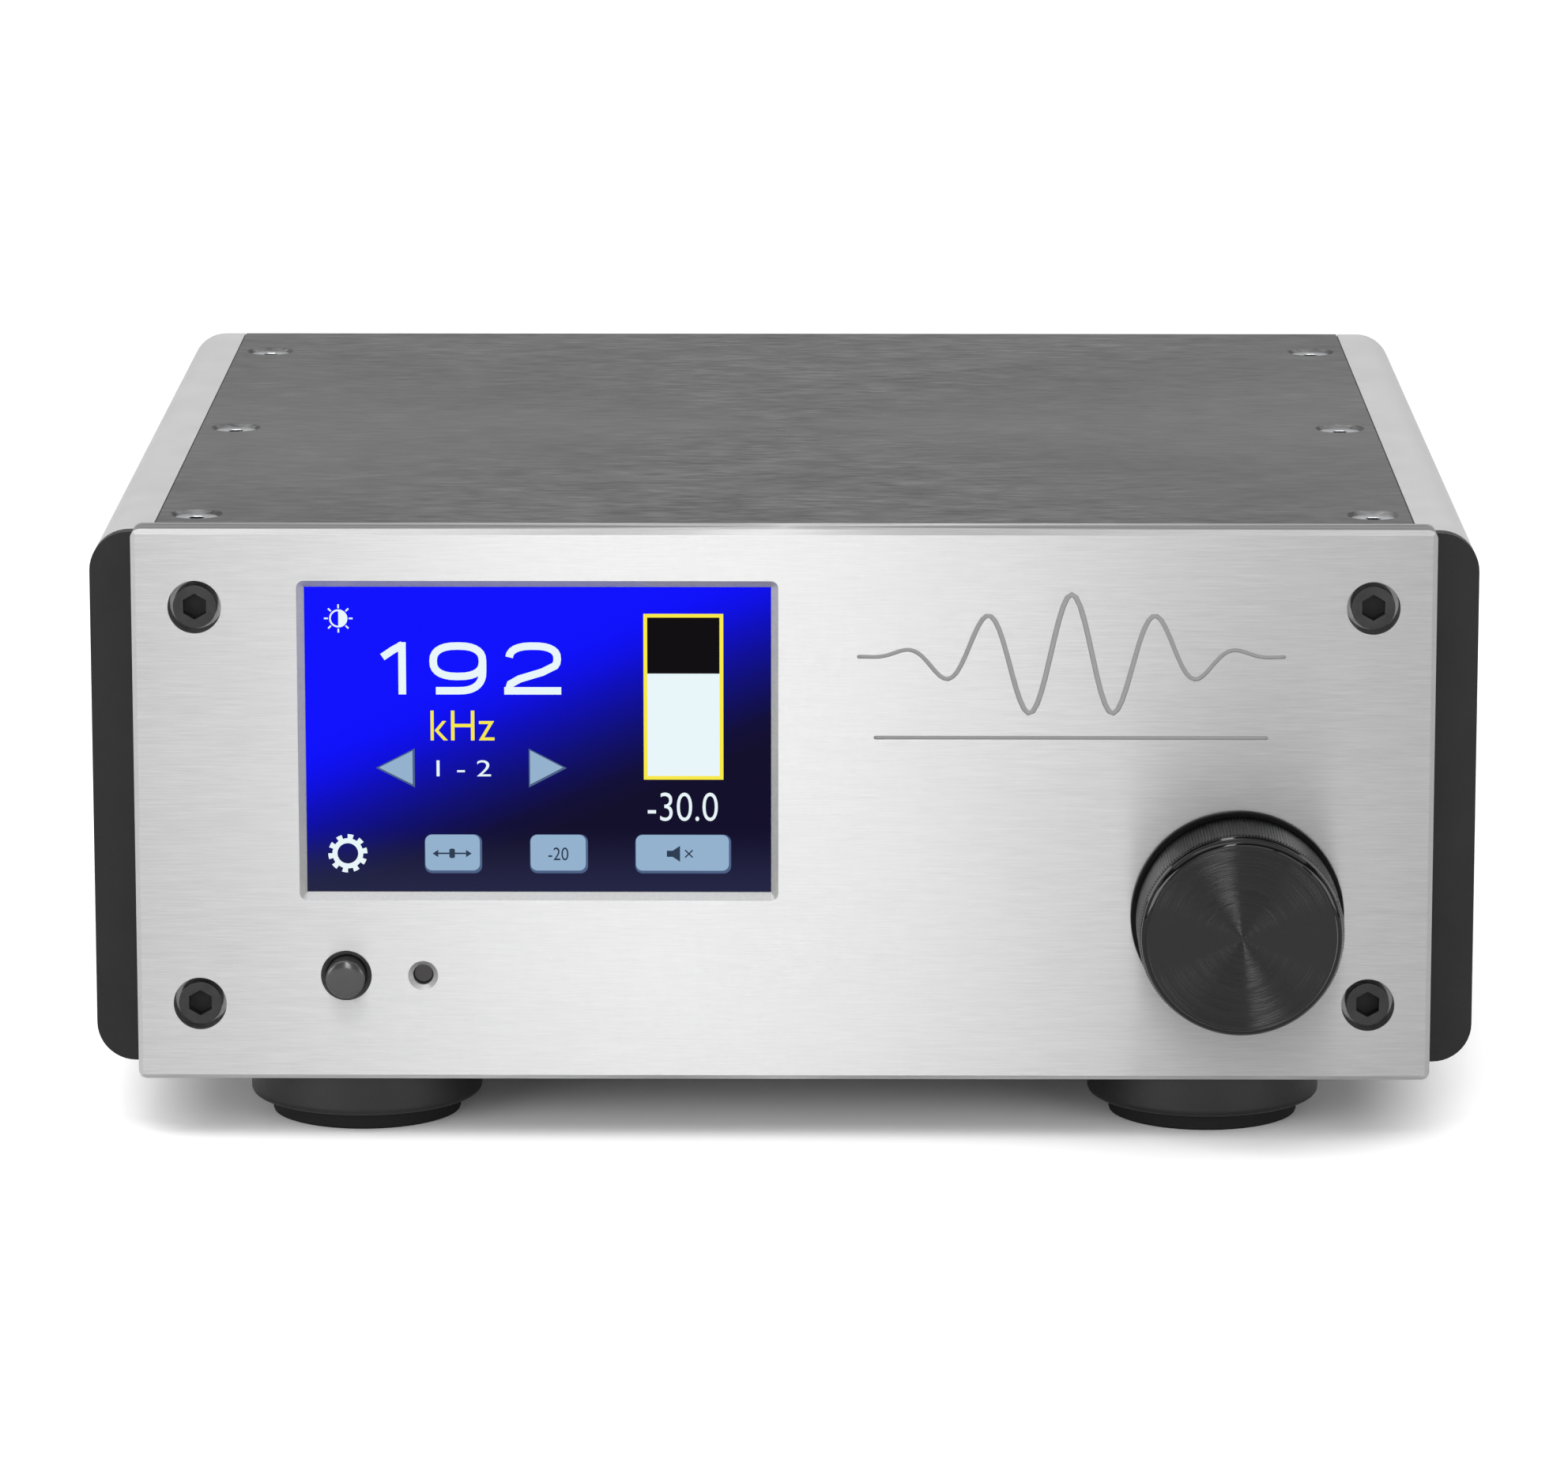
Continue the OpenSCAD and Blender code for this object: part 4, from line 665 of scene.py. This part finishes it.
def open_edges(piece):
    """How many edges of a piece don't join exactly two faces: 0 for a closed solid."""
    mesh = bmesh.new()
    mesh.from_mesh(piece.data)
    count = sum(1 for edge in mesh.edges if len(edge.link_faces) != 2)
    mesh.free()
    return count


# %% [markdown]
# ## The volume knob
#
# A black anodised knob with a smooth flange at its back, a grip of fine straight ridges, a
# polished groove, a small quarter round and a flat face that was spun on the lathe. The ridges
# are real: the grip's rings have two points for every ridge, and every second point is pulled
# in. Where the grip ends, the peaks stop a little before the valleys, which is the zigzag that
# a chamfer cuts across a knurl. A bump pattern would be cheaper, but the outline would stay
# smooth. The face keeps the concentric marks of the tool, and they fan a lamp's reflection out
# into two opposite wedges.

# %% Knob
knob_lo, knob_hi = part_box("volume_knob")
knob_axis = Vector(((knob_lo.x + knob_hi.x) / 2, 0, (knob_lo.z + knob_hi.z) / 2))
knob_back = knob_hi.y / MM
knob_front = knob_lo.y / MM
KNOB_R = (knob_hi.x - knob_lo.x) / 2 / MM
GRIP_R = KNOB_R - 0.72
BORE_R, HUB_R, HOLLOW_R = 3.05, 6.5, 13.5
RIDGES = 200
RIDGE_DEPTH = 0.22
CHAMFER = 0.45
CORNER = 1.05
bore_end = knob_back - 10.6
hollow_end = knob_back - 10.5

knob_rings = [(BORE_R, bore_end), (BORE_R, knob_back), (HUB_R, knob_back), (HUB_R, hollow_end),
              (HOLLOW_R, hollow_end), (HOLLOW_R, knob_back), (KNOB_R - 0.25, knob_back)]
knob_rings += [(KNOB_R - 0.08, knob_back - 0.07), (KNOB_R, knob_back - 0.25),
               (KNOB_R, knob_back - 1.2), (KNOB_R - 0.08, knob_back - 1.4),
               (KNOB_R - 0.22, knob_back - 1.5), (GRIP_R - 0.1, knob_back - 1.52),
               (GRIP_R - 0.1, knob_back - 1.75)]
grip_start = knob_back - 1.95
grip_end = knob_front + 2.5
knob_rings += [(GRIP_R, grip_start), (GRIP_R, grip_end)]
knob_rings += [(GRIP_R - 0.28, grip_end - 0.3), (GRIP_R - 0.62, grip_end - 0.42),
               (GRIP_R - 0.7, grip_end - 0.55), (GRIP_R - 0.7, grip_end - 0.85),
               (GRIP_R - 0.55, grip_end - 0.98)]
face_r = GRIP_R - 0.35 - CORNER
knob_rings += rounded(GRIP_R - 0.38, grip_end - 1.12, CORNER, 7, turn=-1)
knob_rings[-1] = (face_r, knob_front)
knob_rings += [(face_r - 0.12, knob_front)]

knob = turned("knob", "Y", knob_axis, knob_rings, sides=2 * RIDGES)
edit(knob)


def on_valley(vert):
    """Every second point round the axis."""
    turn_angle = math.atan2(vert.co.z - knob_axis.z, vert.co.x - knob_axis.x)
    return round(turn_angle / math.pi * RIDGES) % 2 == 1


def at_ring(vert, place):
    """On the grip's full radius, at this place along the axis."""
    from_ring = (vert.co.xz - knob_axis.xz).length - GRIP_R * MM
    return abs(vert.co.y - place * MM) < 0.02 * MM and abs(from_ring) < 0.03 * MM


valleys = choose("verts", lambda v: on_valley(v) and (at_ring(v, grip_start)
                                                      or at_ring(v, grip_end)))
shrink = (GRIP_R - RIDGE_DEPTH) / GRIP_R
bpy.ops.transform.resize(value=(shrink, 1, shrink), center_override=tuple(knob_axis))
peaks = choose("verts", lambda v: at_ring(v, grip_end))
bpy.ops.transform.translate(value=(0, CHAMFER * MM, 0))
leave()
print("valleys", valleys // 2, "peaks", peaks, "open edges", open_edges(knob))

# %% [markdown]
# The finish follows the lathe too. Distance from the axis is one square root, and noise along
# that distance alone makes rings, far finer than a bump can carry at a metre. So the noise
# leans the face's normal outwards or inwards directly. The lean fades out where the surface is
# no longer the face, and the darker, polished groove and rim get a thin clear coat instead.

# %% Knob finish
RING_SLOPE = 2.0
RING_DENSITY = 36000
spun = Finish("knob_aluminium", metallic=1.0)
x, y, z = spun.axes()
from_axis = ((x - knob_axis.x) ** 2 + (z - knob_axis.z) ** 2) ** 0.5
ring_place = spun.node("CombineXYZ", {}, {0: from_axis * RING_DENSITY, 1: 0.0, 2: 0.0})
rings = spun.node("TexNoise", {}, {"Vector": ring_place, "Scale": 1.0, "Detail": 1.0},
                  output="Fac")
on_face = 1 - spun.steep(y / MM, knob_front + 0.02, knob_front + 0.06)
grip = spun.steep(y / MM, grip_end - 0.05, grip_end + 0.05)
dust = spun.grain(0.3, 0.3, 0.3)
tone = 0.5 + (dust - 0.5) * 0.5
side_tone = spun.mix(tone, shade(14), shade(24))
face_tone = spun.mix(tone, shade(38), shade(46))
spun.give("Base Color", spun.mix(on_face, side_tone, face_tone))
spun.give("Roughness", 0.09 + on_face * 0.02 + grip * 0.22 + (dust - 0.5) * 0.04)
spun.give("Coat Weight", (1 - on_face) * (1 - grip) * 0.3)
outwards = spun.node("CombineXYZ", {}, {0: (x - knob_axis.x) / from_axis, 1: 0.0,
                                        2: (z - knob_axis.z) / from_axis})
outwards = spun.node("VectorTransform", {"vector_type": "VECTOR", "convert_from": "OBJECT",
                                         "convert_to": "WORLD"}, {0: outwards})
lean = spun.node("VectorMath", {"operation": "SCALE"},
                 {0: outwards, "Scale": (rings - 0.5) * on_face * RING_SLOPE})
leant = spun.node("VectorMath", {"operation": "ADD"},
                  {0: lean, 1: spun.node("NewGeometry", output="Normal")})
leant = spun.node("VectorMath", {"operation": "NORMALIZE"}, {0: leant})
spun.give("Normal", leant)
FINISHES["knob_aluminium"] = spun
finish_piece(soften(knob, 0, angle=25), "volume_knob", "knob_aluminium")
print("knob finish has", len(spun.tree.nodes), "nodes")

# %% [markdown]
# ## Button, feet and pads
#
# The power button is gloss black with a slightly domed top and a soft edge. The feet are
# moulded discs with a recess for their screw and a soft pad underneath. All four are the same,
# so one is made and copied; each copy gets its own mesh.

# %% Power button
button_lo, button_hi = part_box("power_button")
button_axis = Vector(((button_lo.x + button_hi.x) / 2, 0, (button_lo.z + button_hi.z) / 2))
STEM_R, FLANGE_R, BUTTON_R = 1.6, 4.6, 3.1
top = button_lo.y / MM
flange_back = face_y / MM + 5.05
flange_front = flange_back - 1.0
button_rings = [(STEM_R, button_hi.y / MM), (STEM_R, flange_back), (FLANGE_R, flange_back),
                (FLANGE_R, flange_front), (BUTTON_R, flange_front)]
button_rings += rounded(BUTTON_R, top + 0.62, 0.42, 5, turn=-1)
button_rings += [(2.4, top + 0.13), (1.8, top + 0.06), (1.0, top + 0.015), (0.4, top)]
button = turned("button", "Y", button_axis, button_rings, sides=72)
gloss = Finish("button_gloss")
haze = gloss.grain(2, 2, 2)
gloss.give("Base Color", gloss.mix(haze, shade(34), shade(40)))
gloss.give("Roughness", 0.16 + (haze - 0.5) * 0.06)
gloss.relief(haze, 0.002)
finish_piece(soften(button, 0, angle=40), "power_button", "black_plastic", gloss)
print("button open edges", open_edges(button))

# %% Feet
def at_place_of(piece, first, node):
    """Moves a copied piece from the box of one CAD node to the box of another."""
    here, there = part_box(first)[0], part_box(node)[0]
    take(piece)
    bpy.ops.transform.translate(value=tuple(there - here))
    bpy.ops.object.transform_apply(location=True, rotation=True, scale=True)
    return piece


foot_lo, foot_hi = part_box("foot_front_left")
foot_axis = Vector(((foot_lo.x + foot_hi.x) / 2, (foot_lo.y + foot_hi.y) / 2, 0))
FOOT_R = (foot_hi.x - foot_lo.x) / 2 / MM
SCREW_R, RECESS_R, NECK_R = 2.1, 5.0, 15.0
pad_top = foot_lo.z / MM
foot_top = foot_hi.z / MM
recess_top = foot_top - 3.5
foot_rings = [(SCREW_R, foot_top), (SCREW_R, recess_top), (RECESS_R, recess_top),
              (RECESS_R, pad_top)]
foot_rings += rounded(FOOT_R, pad_top + 1.2, 1.2, 6, turn=-1)[::-1]
foot_rings += [(FOOT_R, foot_top - 2.5)] + rounded(FOOT_R, foot_top - 2.3, 0.3, 3)
foot_rings += [(NECK_R, foot_top - 2.0), (NECK_R, foot_top - 0.15), (NECK_R - 0.15, foot_top)]
print("foot rings", len(foot_rings), "radius", round(FOOT_R, 2))


def foot_shape():
    """A foot is a ring, so its last face is the bore's top: it is joined to the first one."""
    piece = turned("foot", "Z", foot_axis, foot_rings, sides=120)
    edit(piece)
    ends = choose("faces", lambda f: len(f.verts) > 8)
    bpy.ops.mesh.delete(type="ONLY_FACE")
    choose("edges", lambda e: len(e.link_faces) == 1)
    bpy.ops.mesh.bridge_edge_loops()
    close_skin()
    print("foot ends bridged", ends, "open edges", open_edges(piece))
    return soften(piece, 0, angle=35)


foot_plastic = moulded("foot_plastic", shade(6), shade(16), 0.5, pebble=0.6, depth=0.02,
                       specular_ior_level=0.3)
foot = foot_shape()
FEET = ["foot_front_left", "foot_front_right", "foot_rear_left", "foot_rear_right"]
for node in FEET[1:]:
    twin = at_place_of(copied(foot, node + "_finished"), FEET[0], node)
    finish_piece(twin, node, "black_plastic", foot_plastic)
foot.name = FEET[0] + "_finished"
finish_piece(foot, FEET[0], "black_plastic", foot_plastic)

# %% [markdown]
# ## Screws and small hardware
#
# The frame's screws already have their hexagon sockets, and what they lack is the soft rim
# that rolling leaves on a head. The same goes for the sockets on the back: their edges are
# eased and they keep their shape.

# %% Eased small parts
# node, finish, arris in millimetres, segments
SMALL = [("front_plate_screws", "black_steel", 0.45, 4),
         ("top_cover_screws", "zinc_steel", 0.12, 2), ("base_plate_screws", "black_steel", 0.1, 1),
         ("rear_panel_screws", "black_steel", 0.25, 3),
         ("foot_pads", "rubber", 0.4, 2), ("foot_screws", "zinc_steel", 0.15, 2),
         ("sensor_lens", "lens_plastic", 0.15, 2), ("mains_inlet", "black_plastic", 0.35, 3),
         ("mains_pins", "tinned_steel", 0.3, 2), ("fuse_drawer", "black_plastic", 0.3, 2),
         ("xlr_output_sockets", "black_steel", 0.3, 2), ("xlr_output_pins", "gold_plate", 0.35, 3),
         ("xlr_input_sockets", "black_steel", 0.3, 2), ("xlr_latch_left", "zinc_steel", 0.35, 3),
         ("xlr_latch_right", "zinc_steel", 0.35, 3), ("socket_screws", "zinc_steel", 0.1, 1),
         ("phono_shells", "gold_plate", 0.2, 2), ("phono_cores_left", "white_plastic", 0.15, 2),
         ("phono_cores_right", "red_plastic", 0.15, 2),
         ("phono_core_digital", "orange_plastic", 0.15, 2), ("usb_socket", "tinned_steel", 0.15, 2)]
for node, slot, arris, segments in SMALL:
    eased(node, slot, arris, segments)

# %% [markdown]
# The hexagon sockets are broached, so their walls are rough. Shade falls deep inside them, and that
# shade is painted in: the socket faces get a nearly black colour, so they look much darker than the
# heads. The faces of a socket are those close to the screw's own axis and a little below the top of
# its head.

# %% Painted shade in the sockets
# The socket finish is painted shade: a near-black colour for the shade that falls deep in a hexagon
# socket.
SOCKET_SHADE = moulded("socket_painted_shade", shade(10), shade(22), 0.6, pebble=0.3, depth=0.01,
                 specular_ior_level=0.2)
SOCKET_LIP = 0.12
SOCKET_DEEPEST = 4


def islands(mesh):
    """The separate lumps of a mesh, each as a list of points."""
    mesh.verts.ensure_lookup_table()
    seen, lumps = set(), []
    for start in mesh.verts:
        if start.index in seen:
            continue
        pile, lump = [start], []
        seen.add(start.index)
        while pile:
            vert = pile.pop()
            lump.append(vert.co.copy())
            for edge in vert.link_edges:
                other = edge.other_vert(vert)
                if other.index not in seen:
                    seen.add(other.index)
                    pile.append(other)
        lumps.append(lump)
    return lumps


def paint_socket_shade(node, along, head_top, radius):
    """Gives the painted shade finish to the socket faces of screws that stand along axis 1 or 2."""
    piece = bpy.data.objects[node + "_finished"]
    piece.data.materials.append(SOCKET_SHADE.material)
    others = [i for i in range(3) if i != along]
    mesh = bmesh.new()
    mesh.from_mesh(piece.data)
    axes = [[(min(c[i] for c in lump) + max(c[i] for c in lump)) / 2 for i in others]
            for lump in islands(mesh)]
    mesh.free()
    dark = 0
    for face in piece.data.polygons:
        spread = min(math.hypot(*(face.center[i] - axis[k] for k, i in enumerate(others)))
                     for axis in axes)
        below = abs(face.center[along] - head_top) / MM
        # Faces deep in a socket take the painted shade.
        if spread < radius * MM and SOCKET_LIP < below < SOCKET_DEEPEST:
            face.material_index = 1
            dark += 1
    print(node, "screws", len(axes), "socket faces", dark)


paint_socket_shade("front_plate_screws", 1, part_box("front_plate_screws")[0].y, 2.2)
paint_socket_shade("top_cover_screws", 2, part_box("top_cover_screws")[1].z, 1.5)

# %% [markdown]
# ## What the screen shows
#
# Each sign on the screen is a sheet under two hundredths of a millimetre thick, standing just
# clear of the glass. A sheet can be moved and restyled alone, and it stays crisp at any
# distance, which a painted pattern would not. All the signs are drawn in millimetres from the
# screen's top left corner. Figures are Text objects turned into meshes; the other signs are
# flat primitives that are bevelled, inset and extruded.

# %% Placing signs
SHEET = 0.016
GLASS_GAP = 0.00001
LAYER_GAP = 0.000022
LAYERS = [glass_lo.y - GLASS_GAP - LAYER_GAP * i for i in range(1, 4)]


def spot(u, v):
    """The point u millimetres right of and v below the screen's top left corner."""
    return screen_left + u * MM, 0, screen_top - v * MM


def flat_start(name, kind, u, v, width, height, **more):
    """A flat primitive, width by height mm, centred on (u, v), facing forwards."""
    let_go()
    adder = {"plane": bpy.ops.mesh.primitive_plane_add,
             "circle": bpy.ops.mesh.primitive_circle_add}
    size = {"size": 1.0} if kind == "plane" else {"radius": 0.5, "fill_type": "NGON"}
    adder[kind](location=spot(u, v), rotation=(math.radians(90), 0, 0), **size, **more)
    piece = bpy.context.object
    piece.name = name
    piece.scale = (width * MM, height * MM, 1)
    bpy.ops.object.transform_apply(location=True, rotation=True, scale=True)
    return piece


def sheet(piece, layer, light):
    """Turns a flat outline into a thin closed sheet on one of the screen's layers."""
    edit(piece)
    bpy.ops.mesh.extrude_region_move(TRANSFORM_OT_translate={"value": (0, SHEET * MM, 0)})
    bpy.ops.mesh.select_all(action="SELECT")
    bpy.ops.transform.translate(value=(0, LAYERS[layer] - SHEET * MM / 2, 0))
    close_skin()
    piece.data.materials.clear()
    piece.data.materials.append(LAMPS[light].material)
    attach(piece, frame["nodes"]["display_glass"]["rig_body"])
    return piece


def figures(name, words, left, top, right, bottom, light, layer=0, weight=0.0):
    """Text that fills a box on the screen, given by its four sides in millimetres."""
    let_go()
    bpy.ops.object.text_add(location=(0, 0, 0))
    piece = bpy.context.object
    piece.name = name
    piece.data.body = words
    piece.data.offset = weight
    piece.data.resolution_u = 6
    bpy.ops.object.convert(target="MESH")
    piece = bpy.context.object
    low = Vector([min(v.co[i] for v in piece.data.vertices) for i in range(3)])
    high = Vector([max(v.co[i] for v in piece.data.vertices) for i in range(3)])
    wide = (right - left) / (high.x - low.x)
    tall = (bottom - top) / (high.y - low.y)
    x, _, z = spot(left, bottom)
    piece.scale = (wide * MM, tall * MM, 1)
    piece.rotation_euler = (math.radians(90), 0, 0)
    piece.location = (x - low.x * wide * MM, 0, z - low.y * tall * MM)
    bpy.ops.object.transform_apply(location=True, rotation=True, scale=True)
    print(name, "faces", len(piece.data.polygons))
    return sheet(piece, layer, light)


# %% [markdown]
# The large figures are wide and drawn with one line of even width, which the font doesn't have.
# Each is a ribbon: a plane whose end edge is extruded along a path, with its two corners placed
# on the mitre at every bend.

# %% Large figures
def ribbon(name, points, width):
    """A flat strip of even width along points (u, v), in millimetres on the screen."""
    path = [Vector(point) for point in points]
    pairs = []
    for i, here in enumerate(path):
        after = (path[min(i + 1, len(path) - 1)] - path[min(i, len(path) - 2)]).normalized()
        before = (here - path[i - 1]).normalized() if i else after
        middle = (before + after).normalized()
        across = Vector((-middle.y, middle.x)) * width / 2 / middle.dot(before)
        pairs.append([Vector(spot(*(here - across))), Vector(spot(*(here + across)))])
    piece = flat_start(name, "plane", *path[0], 1, 1)
    edit(piece)
    bpy.ops.mesh.select_mode(type="VERT")

    def pick(*indices):
        """Selects these corners alone and returns all the corners."""
        mesh = bmesh.from_edit_mesh(piece.data)
        mesh.verts.ensure_lookup_table()
        bpy.ops.mesh.select_all(action="DESELECT")
        for index in indices:
            mesh.verts[index].select_set(True)
        mesh.select_flush_mode()
        return mesh.verts

    def put(index, place):
        """Moves one corner to its place."""
        bpy.ops.transform.translate(value=tuple(place - pick(index)[index].co))

    for index, place in enumerate(pairs[0] + pairs[1]):
        put(index, place)
    for left, right in pairs[2:]:
        old_left = pick(-2, -1)[-2].co.copy()
        bpy.ops.mesh.extrude_region_move(TRANSFORM_OT_translate={"value": (0, 0, 0)})
        in_order = (pick(-2, -1)[-2].co - old_left).length < SAME_PLACE
        put(-2 if in_order else -1, left)
        put(-1 if in_order else -2, right)
    leave()
    return piece


def swell(value):
    """Sine or cosine, pushed outwards so that an oval turns squarish."""
    return math.copysign(abs(value) ** 0.8, value)


def bow(u, v, across, down, start, stop, steps):
    """Points on a squarish oval, from angle start to stop in degrees."""
    angles = [math.radians(start + (stop - start) * i / steps) for i in range(steps + 1)]
    return [(u + across * swell(math.cos(a)), v - down * swell(math.sin(a))) for a in angles]


LINE_W = 1.2
SAME_PLACE = 0.000001
ONE = [[(12.2, 11.3), (13.8, 10.2), (15.4, 9.3)], [(15.3, 8.9), (15.3, 13), (15.3, 17.3)]]
NINE = [bow(24.1, 11.95, 3.9, 2.45, 0, 359, 28),
        [(28.0, 11.9)] + bow(24.1, 13.5, 3.9, 3.2, 0, -90, 9) + [(20.6, 16.7)]]
TWO = [bow(36.0, 11.55, 3.8, 2.05, 176, -28, 15)
       + [(37.4, 13.7), (33.8, 14.8), (32.4, 15.6), (32.0, 17.0)],
       [(31.4, 16.7), (36, 16.7), (40.4, 16.7)]]
for i, points in enumerate(ONE + NINE + TWO):
    sheet(ribbon(f"title_{i + 1}", points, LINE_W), 0, "white_light")
print("title strokes", i + 1)

# %% Figures
figures("unit", "kHz", 19.7, 19.9, 29.8, 24.7, "yellow_light", weight=-0.006)
figures("source", "1 - 2", 20.6, 27.9, 29.2, 30.5, "white_light", weight=-0.004)
figures("level", "-30.0", 54.0, 33.1, 65.1, 37.7, "white_light", weight=-0.006)


# %% [markdown]
# The keys are soft-cornered plates with a darker rim below and to the right, as if lit from
# the upper left. A plate starts as a plane whose four corners are bevelled; its shadow is the
# same plate, a little lower and one layer further back.

# %% Keys and arrows
def plate_sign(name, u0, v0, u1, v1, light, layer, corner=0):
    """A rectangle between two corners of its own, rounded by corner millimetres."""
    piece = flat_start(name, "plane", (u0 + u1) / 2, (v0 + v1) / 2, u1 - u0, v1 - v0)
    edit(piece)
    if corner:
        bpy.ops.mesh.bevel(offset=corner * MM, segments=6, affect="VERTICES")
    leave()
    return sheet(piece, layer, light)


def arrow(name, tip, back, v0, v1, light, layer):
    """A triangle that points from back to tip."""
    piece = flat_start(name, "circle", 0, 0, 2, 2, vertices=3)
    edit(piece)
    mesh = bmesh.from_edit_mesh(piece.data)
    corners = sorted(mesh.verts, key=lambda v: -v.co.z)
    places = [(tip, (v0 + v1) / 2), (back, v0), (back, v1)]
    for corner, place in zip(corners, places):
        bpy.ops.mesh.select_all(action="DESELECT")
        corner.select_set(True)
        mesh.select_flush_mode()
        x, _, z = spot(*place)
        bpy.ops.transform.translate(value=(x - corner.co.x, 0, z - corner.co.z))
    leave()
    return sheet(piece, layer, light)


KEYS = {"balance_key": (18.6, 27.7), "dim_key": (35.3, 44.5), "mute_key": (52.0, 67.2)}
for name, (u0, u1) in KEYS.items():
    plate_sign(name + "_shadow", u0, 39.9, u1, 46.2, "key_shadow", 0, 1.2)
    plate_sign(name, u0 + 0.1, 39.95, u1 - 0.35, 45.75, "key_light", 1, 1.05)

arrow("earlier_shadow", 11.0, 17.15, 26.0, 32.3, "key_shadow", 0)
arrow("earlier", 11.5, 16.8, 26.4, 31.8, "key_light", 1)
arrow("later_shadow", 41.2, 35.2, 26.0, 32.3, "key_shadow", 0)
arrow("later", 40.6, 35.4, 26.3, 31.8, "key_light", 1)
print("keys", list(KEYS))

# %% Level bar
BAR_LEFT, BAR_RIGHT = 54.0, 65.4
BAR_TOP, BAR_LEVEL, BAR_BOTTOM = 4.9, 13.9, 30.4
BAR_RIM = 0.6
plate_sign("bar_frame", BAR_LEFT - BAR_RIM, BAR_TOP - BAR_RIM, BAR_RIGHT + BAR_RIM,
           BAR_BOTTOM + BAR_RIM, "yellow_light", 0)
plate_sign("bar_empty", BAR_LEFT, BAR_TOP, BAR_RIGHT, BAR_LEVEL, "dark_light", 1)
plate_sign("bar_full", BAR_LEFT, BAR_LEVEL, BAR_RIGHT, BAR_BOTTOM, "white_light", 1)
print("bar filled to", round((BAR_BOTTOM - BAR_LEVEL) / (BAR_BOTTOM - BAR_TOP), 2))


# %% [markdown]
# The gear is a ring whose rim is extruded outwards at every tooth. A ring is a disc with an
# inset face that is deleted. The brightness sign is a ring, a half disc and eight short rays,
# and each ray is one small plane turned about the middle.

# %% Gear and brightness signs
def round_sign(name, u, v, across, hole=0.0):
    """A disc, or a ring if it has a hole of that diameter."""
    piece = flat_start(name, "circle", u, v, across, across, vertices=40)
    if hole:
        edit(piece)
        bpy.ops.mesh.inset(thickness=(across - hole) / 2 * MM)
        bpy.ops.mesh.delete(type="FACE")
        leave()
    return piece


def turned_bar(name, u, v, width, height, degrees, pivot, layer, light):
    """A small bar turned about a point (u, v) of the screen."""
    bar = flat_start(name, "plane", u, v, width, height)
    edit(bar)
    bpy.ops.transform.rotate(value=math.radians(degrees), orient_axis="Y",
                             center_override=spot(*pivot))
    leave()
    return sheet(bar, layer, light)


GEAR_PLACE = (6.4, 43.0)
TOOTH_HEIGHT = 1.27
gear = round_sign("settings_sign", *GEAR_PLACE, 4.9, hole=3.3)
gear_middle = spot(*GEAR_PLACE)


def on_tooth(edge):
    """An outer edge of the gear at one of its ten teeth, each two edges wide."""
    x, z = ((edge.verts[0].co[i] + edge.verts[1].co[i]) / 2 - gear_middle[i] for i in (0, 2))
    step = int((math.atan2(z, x) + math.pi) / math.radians(9))
    return len(edge.link_faces) == 1 and math.hypot(x, z) > 2.2 * MM and step % 4 in (0, 1)


edit(gear)
teeth = choose("edges", on_tooth)
bpy.ops.mesh.extrude_region_move(TRANSFORM_OT_translate={"value": (0, 0, 0)})
bpy.ops.transform.resize(value=(TOOTH_HEIGHT, 1, TOOTH_HEIGHT), center_override=gear_middle)
leave()
sheet(gear, 0, "white_light")
print("gear teeth edges", teeth)

SUN_PLACE = (5.3, 5.1)
sheet(round_sign("brightness_ring", *SUN_PLACE, 2.9, hole=2.35), 0, "white_light")
half = round_sign("brightness_half", *SUN_PLACE, 2.45)
edit(half)
bpy.ops.mesh.bisect(plane_co=spot(*SUN_PLACE), plane_no=(-1, 0, 0), clear_outer=True)
leave()
sheet(half, 0, "white_light")
for i in range(8):
    turned_bar(f"brightness_ray_{i + 1}", SUN_PLACE[0], SUN_PLACE[1] - 1.95, 0.26, 0.62, 45 * i,
               SUN_PLACE, 0, "white_light")

# %% Signs on the keys
figures("dim_figures", "-20", 38.2, 42.0, 41.4, 44.1, "key_print", layer=2)
MUTE_U, MUTE_V = 59.2, 43.0
plate_sign("mute_magnet", MUTE_U - 2.2, MUTE_V - 0.5, MUTE_U - 1.2, MUTE_V + 0.5, "key_print", 2)
arrow("mute_cone", MUTE_U - 2.0, MUTE_U - 0.1, MUTE_V - 1.3, MUTE_V + 1.3, "key_print", 2)
for i, degrees in enumerate((45, -45)):
    turned_bar(f"mute_cross_{i + 1}", MUTE_U + 1.3, MUTE_V, 0.22, 1.7, degrees,
               (MUTE_U + 1.3, MUTE_V), 2, "key_print")
BALANCE_U = 22.95
plate_sign("balance_line", BALANCE_U - 2.2, 42.85, BALANCE_U + 2.2, 43.1, "key_print", 2)
plate_sign("balance_mark", BALANCE_U - 0.45, 42.2, BALANCE_U + 0.45, 43.75, "key_print", 2, 0.3)
arrow("balance_left", BALANCE_U - 3.1, BALANCE_U - 2.2, 42.4, 43.6, "key_print", 2)
arrow("balance_right", BALANCE_U + 3.1, BALANCE_U + 2.2, 42.4, 43.6, "key_print", 2)

# %% [markdown]
# ## Inside the case
#
# The boards, the transformer and the wiring are hidden by the case. The frame's parts stay as
# they are and take the finish of their material slot.

# %% Inside parts
slot_of = {part["node"]: part["material_slot"] for part in frame["record"]["subparts"]}
for node, piece in frame["nodes"].items():
    if not piece.hide_render:
        piece.data.materials.clear()
        piece.data.materials.append(FINISHES[slot_of[node]].material)
